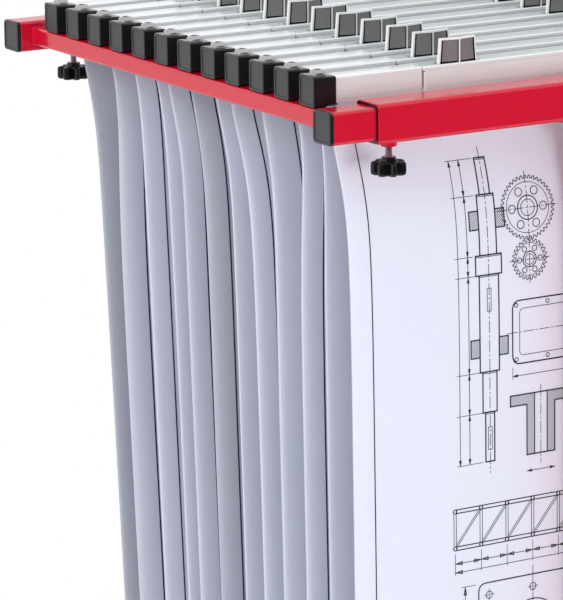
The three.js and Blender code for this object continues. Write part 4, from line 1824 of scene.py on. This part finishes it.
@dataclass
class PlanSets(SubAssembly):
    """The twelve sets of plans: a drawn front sheet, the leaves behind it and the ink."""

    leaves: NodeTree | None = None
    width: float = 457.0
    length: float = 610.0
    top: float = 20.0
    grip: float = 12.0
    front: float = -1.45
    leaf_thick: float = 0.5
    leaf_pitch: float = 0.62
    leaf_jitter: float = 0.8
    back_leaves: int = 3
    first_seed: int = 31
    reach: float = 62.0
    bow_front: float = 19.0
    bow_rear: float = 26.0
    lean_front: float = 0.008
    lean_rear: float = 0.075
    uneven: float = 3.0
    uneven_step: float = 2.4
    ripple: float = 1.3
    wave: float = 0.017
    phase_step: float = 1.7
    settle: float = 240.0
    sways: tuple[float, ...] = (2.0, 3.0, -1.0, 0.0, 3.0, 4.0, 6.0, -1.0, 12.0, 12.0, -2.0, 4.0)
    sway_reach: float = 120.0
    flares: tuple[float, ...] = (-9.0, 14.0, 19.0, 0.0, -12.0, 1.0, 0.0, -1.0, 18.0, 20.0, 19.0,
                                 5.0)
    flare_depth: float = 30.0
    curls: tuple[float, ...] = (0.8, 0.6, 1.6, 1.0, 1.4, 0.7, 3.0, 1.0, 0.8, 1.2, 4.5, 0.8)
    curl_reaches: tuple[float, ...] = (4.0, 4.0, 5.0, 4.0, 4.0, 4.0, 7.0, 4.0, 4.0, 4.0, 8.0, 4.0)
    crowding: float = 2.0
    # Each set's border line sits at its own margin, so that it shows as a thin dark line just left
    # of the next set's edge.
    margins: tuple[float, ...] = (19.5, 28.0, 19.5, 28.0, 19.0, 28.0, 20.0, 19.0, 28.0, 18.5, 21.5,
                                  28.0)
    ink_foot: float = 0.03
    ink_lift: float = 0.2
    ink_step: float = 9.0
    # Sets hung in a darker paper copy, painted shade between the sets.
    papers: dict[int, Finish] = field(default_factory=lambda: {
        7: Finish.PAPER_GREY, 11: Finish.PAPER_DULL, 12: Finish.PAPER_GREY})

    def graded(self, number: int, front: float, rear: float) -> float:
        """Returns a value that goes evenly from the front set to the rear one."""
        return front + (rear - front) * ((number - 1) / (CLAMP_COUNT - 1))

    def bow(self, number: int) -> float:
        """Returns how far a set bows out below the jaws."""
        extra = self.uneven * math.sin(self.uneven_step * number) if number > 1 else 0.0
        return self.graded(number, self.bow_front, self.bow_rear) + extra

    def lean(self, number: int) -> float:
        """Returns a set's slope per millimetre of drop."""
        return self.graded(number, self.lean_front, self.lean_rear)

    def forward(self, number: int, x: float, depth: float) -> float:
        """Finds the front face of a set by the same rule as the tree of leaves.

        Args:
            number: The set, counted from the front.
            x: Place across the sheet, from its middle.
            depth: Distance below the sheet's top edge.

        Returns:
            Its Y from the clamp's centre in millimetres, negative towards the front.
        """
        below = max(depth - self.grip, 0.0)

        def swell(scale: float) -> float:
            """Returns 1 - exp(-(below / scale)^2)."""
            return 1 - math.exp(-(below / scale) ** 2)

        index, fallen = number - 1, below / self.flare_depth
        bowed = self.bow(number) * swell(self.reach)
        wave = math.sin(x * self.wave + self.phase_step * number)
        rippled = self.ripple * swell(self.settle) * wave
        swayed = self.sways[index] * swell(self.sway_reach)
        flared = self.flares[index] * fallen * math.exp(1 - fallen)
        near_edge = math.exp(-(x + self.width / 2) / self.curl_reaches[index])
        curled = self.curls[index] * swell(self.reach) * near_edge
        leant = self.lean(number) * below
        return self.front - bowed - leant - swayed - flared + rippled + curled

    def leaf_stack(self, name: str, number: int, first: float, leaves: int, jitter: float) -> Mesh:
        """Hangs a stack of leaves for one set.

        Args:
            name: The mesh's name.
            number: The set, counted from the front.
            first: Extra depth of the first leaf behind the front face.
            leaves: How many leaves.
            jitter: How far a leaf may lie out of line.

        Returns:
            The leaves as one mesh.
        """
        index = number - 1
        lengths = {
            "Width": self.width, "Length": self.length, "Top": RAIL_HEIGHT + self.top,
            "Front": clamp_centre(number) + self.front + first, "Grip": self.grip,
            "Bow": self.bow(number), "Reach": self.reach, "Ripple": self.ripple,
            "Settle": self.settle, "Sway": self.sways[index], "Sway Reach": self.sway_reach,
            "Flare": self.flares[index], "Flare Depth": self.flare_depth,
            "Curl": self.curls[index], "Curl Reach": self.curl_reaches[index],
            "Thick": self.leaf_thick, "Pitch": self.leaf_pitch, "Jitter": jitter}
        values = {
            **{key: value * MM for key, value in lengths.items()},
            "Lean": self.lean(number), "Wave": self.wave / MM, "Phase": self.phase_step * number,
            "Crowding": self.crowding, "Leaves": leaves, "Seed": self.first_seed + number,
            "Finish": self.palette[self.papers.get(number, Finish.PAPER)]}
        return settled(grown(name, self.leaves, bpy.data.meshes.new(name + "_seed"), values))

    def stroke_dots(self, corners: Outline, closed: bool) -> list[Vector]:
        """Divides a stroke into short steps, so that it follows the sheet.

        Args:
            corners: The stroke's corners.
            closed: Whether the last corner joins the first.

        Returns:
            The points along it.
        """
        dots = []
        for index, corner in enumerate(corners[:None if closed else -1]):
            start, end = Vector(corner), Vector(corners[(index + 1) % len(corners)])
            steps = max(1, math.ceil((end - start).length / self.ink_step))
            dots += [start.lerp(end, step / steps) for step in range(steps)]
        return dots if closed else dots + [Vector(corners[-1])]

    def ink(self, number: int, drafting: Drafting) -> Sketch:
        """Lays a drawing's strokes on the front face of a set.

        Args:
            number: The set, counted from the front.
            drafting: The strokes.

        Returns:
            Thin raised strokes that follow the sheet.
        """
        centre = clamp_centre(number)

        def spot(place: Vector, lift: float) -> Point:
            """Places a point of the drawing.

            Args:
                place: Where it is on the sheet.
                lift: How far it stands in front of the sheet.

            Returns:
                The point.
            """
            x = place.x - self.width / 2
            y = centre + self.forward(number, x, place.y) - lift
            return (x, y, RAIL_HEIGHT + self.top - place.y)

        sketch = Sketch()
        for corners, width, closed in drafting.strokes:
            dots = self.stroke_dots(corners, closed)
            rings = []
            for index, dot in enumerate(dots):
                before = dots[index - 1] if closed or index else dot
                after = dot
                if closed or index < len(dots) - 1:
                    after = dots[(index + 1) % len(dots)]
                first = (dot - before if before != dot else after - dot).normalized()
                second = (after - dot).normalized() if after != dot else first
                along = (first + second).normalized()
                stretch = 1 / max(along.dot(first), 0.5)
                across = Vector((-along.y, along.x)) * (width / 2 * stretch)
                low, high = dot - across, dot + across
                rings.append([spot(low, self.ink_foot), spot(high, self.ink_foot),
                              spot(high, self.ink_lift), spot(low, self.ink_lift)])
            sketch.loft(rings, looped=closed)
        return sketch

    def build(self) -> None:
        """Builds the twelve sets."""
        for number in range(1, CLAMP_COUNT + 1):
            name, body, whole = f"plans_{number:02d}", f"clamp_{number:02d}", number == 1
            sheet = self.leaf_stack(f"{name}_front_sheet", number, 0.0, 1, 0.0)
            front = self.carry(sheet, body, Surface.PAPER, [f"plan_set_{number:02d}"])
            stack = self.leaf_stack(f"{name}_leaves", number, self.leaf_pitch, self.back_leaves,
                                    self.leaf_jitter)
            behind = self.carry(stack, body, Surface.PAPER)
            drafting = Drafting()
            drafting.border(self.margins[number - 1], 1.0 if whole else 1.4)
            if whole:
                drafting.machine_sheet()
            else:
                drafting.plain_sheet(number)
            lines = self.keep(self.ink(number, drafting), f"{name}_ink", body, Surface.INK)


# The studio

@dataclass
class Studio:
    """The floor, the soft light and the camera, in metres."""

    key_power: float = 54.0
    fill_power: float = 44.0
    top_power: float = 16.0
    ambient: float = 0.74
    floor_half: float = 40.0
    floor_level: float = -0.0004
    fade_start: float = 0.7
    fade_end: float = 1.9
    fade_near: float = 0.35
    flag_y: float = -2.4
    flag_low: Flat = (-4.0, -0.2)
    flag_high: Flat = (6.0, 2.2)
    camera_place: Point = (-2.08446, -3.25807, 1.82840)
    azimuth: float = -30.709
    elevation: float = 13.022
    roll: float = -0.697
    focal_pixels: float = 4348.6
    long_side: float = 600.0
    sensor: float = 36.0
    far_end: float = 200.0

    def pane(self, name: str, corners: Sequence[Point], material: Material) -> Object:
        """Makes a flat four-cornered piece of the studio.

        Args:
            name: Its name.
            corners: Its corners.
            material: Its material.

        Returns:
            The piece.
        """
        mesh = bpy.data.meshes.new(name)
        mesh.from_pydata(corners, [], [(0, 1, 2, 3)])
        mesh.materials.append(material)
        return placed(name, mesh)

    def floor(self) -> None:
        """Lays a pale floor that fades to white away from the rack, with its shadow near it."""
        material, desk, shader = new_material("pale_floor")
        desk.fill(shader, {"Base Color": (0.86, 0.86, 0.86, 1.0), "Roughness": 0.85,
                           "Specular IOR Level": 0.1})
        path = desk.node("ShaderNodeLightPath", {}).outputs
        seen = desk.math("MAXIMUM", path["Is Camera Ray"], path["Is Glossy Ray"])
        distance = desk.result("ShaderNodeVectorMath", "Value", {
            0: desk.result("ShaderNodeTexCoord", "Object", {})}, operation="LENGTH")
        fade = desk.result("ShaderNodeMapRange", "Result", {
            "Value": distance, "From Min": self.fade_start, "From Max": self.fade_end,
            "To Min": self.fade_near}, interpolation_type="SMOOTHSTEP")
        white = desk.node("ShaderNodeEmission", {})
        mix = desk.result("ShaderNodeMixShader", 0, {
            "Fac": desk.math("MULTIPLY", seen, fade), 1: shader.outputs[0], 2: white.outputs[0]})
        desk.fill(desk.tree.nodes["Material Output"], {"Surface": mix})
        half = self.floor_half
        outline = box_outline((-half, -half), (half, half))
        floor = self.pane("studio_floor", [(x, y, self.floor_level) for x, y in outline], material)

    def flag(self) -> None:
        """Hangs the dark flag in front of the rack, which only its reflections show."""
        material, desk, shader = new_material("dark_flag_cloth")
        desk.fill(shader, {"Base Color": (0.03, 0.03, 0.03, 1.0), "Roughness": 0.9})
        outline = box_outline(self.flag_low, self.flag_high)
        flag = self.pane("front_flag", [(x, self.flag_y, z) for x, z in outline], material)
        flag.visible_camera = False
        flag.visible_diffuse = False
        flag.visible_shadow = False
        flag.visible_transmission = False

    def sky(self) -> None:
        """Sets a white surround for the camera and for reflections, and a softer one for light."""
        world = bpy.data.worlds.new("studio_sky")
        world.use_nodes = True
        bpy.context.scene.world = world
        desk = NodeDesk(world.node_tree)
        soft = desk.fill(desk.tree.nodes["Background"], {
            "Color": (0.93, 0.95, 1.0, 1.0), "Strength": self.ambient})
        white = desk.node("ShaderNodeBackground", {"Color": (1.0, 1.0, 1.0, 1.0)})
        path = desk.node("ShaderNodeLightPath", {}).outputs
        seen = path["Is Camera Ray"]
        for name in ("Is Glossy Ray", "Is Transmission Ray"):
            seen = desk.math("MAXIMUM", seen, path[name])
        mix = desk.result("ShaderNodeMixShader", 0, {
            "Fac": seen, 1: soft.outputs[0], 2: white.outputs[0]})
        desk.fill(desk.tree.nodes["World Output"], {"Surface": mix})

    def lamp(self, name: str, place: Point, aim: Point, size: float, power: float) -> None:
        """Hangs one soft square lamp.

        Args:
            name: The lamp's name.
            place: Where it hangs.
            aim: What it points at.
            size: Its side.
            power: Its power in watts.
        """
        light = bpy.data.lights.new(name, "AREA")
        light.size = size
        light.energy = power
        lamp = placed(name, light)
        lamp.location = place
        lamp.rotation_euler = (Vector(aim) - Vector(place)).to_track_quat("-Z", "Y").to_euler()
        lamp.visible_camera = False
        lamp.visible_glossy = False

    def camera(self) -> None:
        """Sets the camera where the photograph was taken from."""
        turn, rise = math.radians(-self.azimuth), math.radians(self.elevation)
        ahead = Vector((math.sin(turn) * math.cos(rise), math.cos(turn) * math.cos(rise),
                        -math.sin(rise)))
        right = ahead.cross(Vector((0.0, 0.0, 1.0))).normalized()
        up = right.cross(ahead)
        tilt = math.radians(self.roll)
        tilted_right = right * math.cos(tilt) + up * math.sin(tilt)
        tilted_up = up * math.cos(tilt) - right * math.sin(tilt)
        data = bpy.data.cameras.new("photo_camera")
        data.sensor_width = self.sensor
        data.lens = self.focal_pixels / self.long_side * data.sensor_width
        data.clip_end = self.far_end
        camera = placed("photo_camera", data)
        facing = Matrix((tilted_right, tilted_up, -ahead)).transposed().to_4x4()
        camera.matrix_world = Matrix.Translation(self.camera_place) @ facing
        bpy.context.scene.camera = camera

    def build(self) -> None:
        """Sets up the whole studio."""
        bpy.context.scene.view_settings.view_transform = "Standard"
        self.camera()
        self.floor()
        self.sky()
        self.lamp("key_lamp", (-3.4, -0.6, 2.6), (-0.1, 0.0, 0.9), 2.2, self.key_power)
        self.lamp("fill_lamp", (-0.1, -4.2, 1.1), (0.0, 0.0, 0.9), 1.2, self.fill_power)
        self.lamp("top_lamp", (0.3, 0.9, 3.8), (0.0, 0.0, 1.1), 1.8, self.top_power)
        self.flag()


def main() -> None:
    """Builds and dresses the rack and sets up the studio."""
    logging.basicConfig(level=logging.INFO, format="%(name)s: %(message)s")
    palette, repeats = make_palette(), repeat_tree()
    kinds = (RailTubes, SlidingEnds, LockKnobs, Stand, Castors, PlanClamps)
    assemblies: list[SubAssembly] = [kind(palette, repeats) for kind in kinds]
    assemblies.append(PlanSets(palette, repeats, leaf_tree()))
    Studio().build()
    for assembly in assemblies:
        assembly.build()
        assembly.dress()
        log.info("%s: %d kept pieces", type(assembly).__name__, len(assembly.made))


if __name__ == "__main__":
    main()
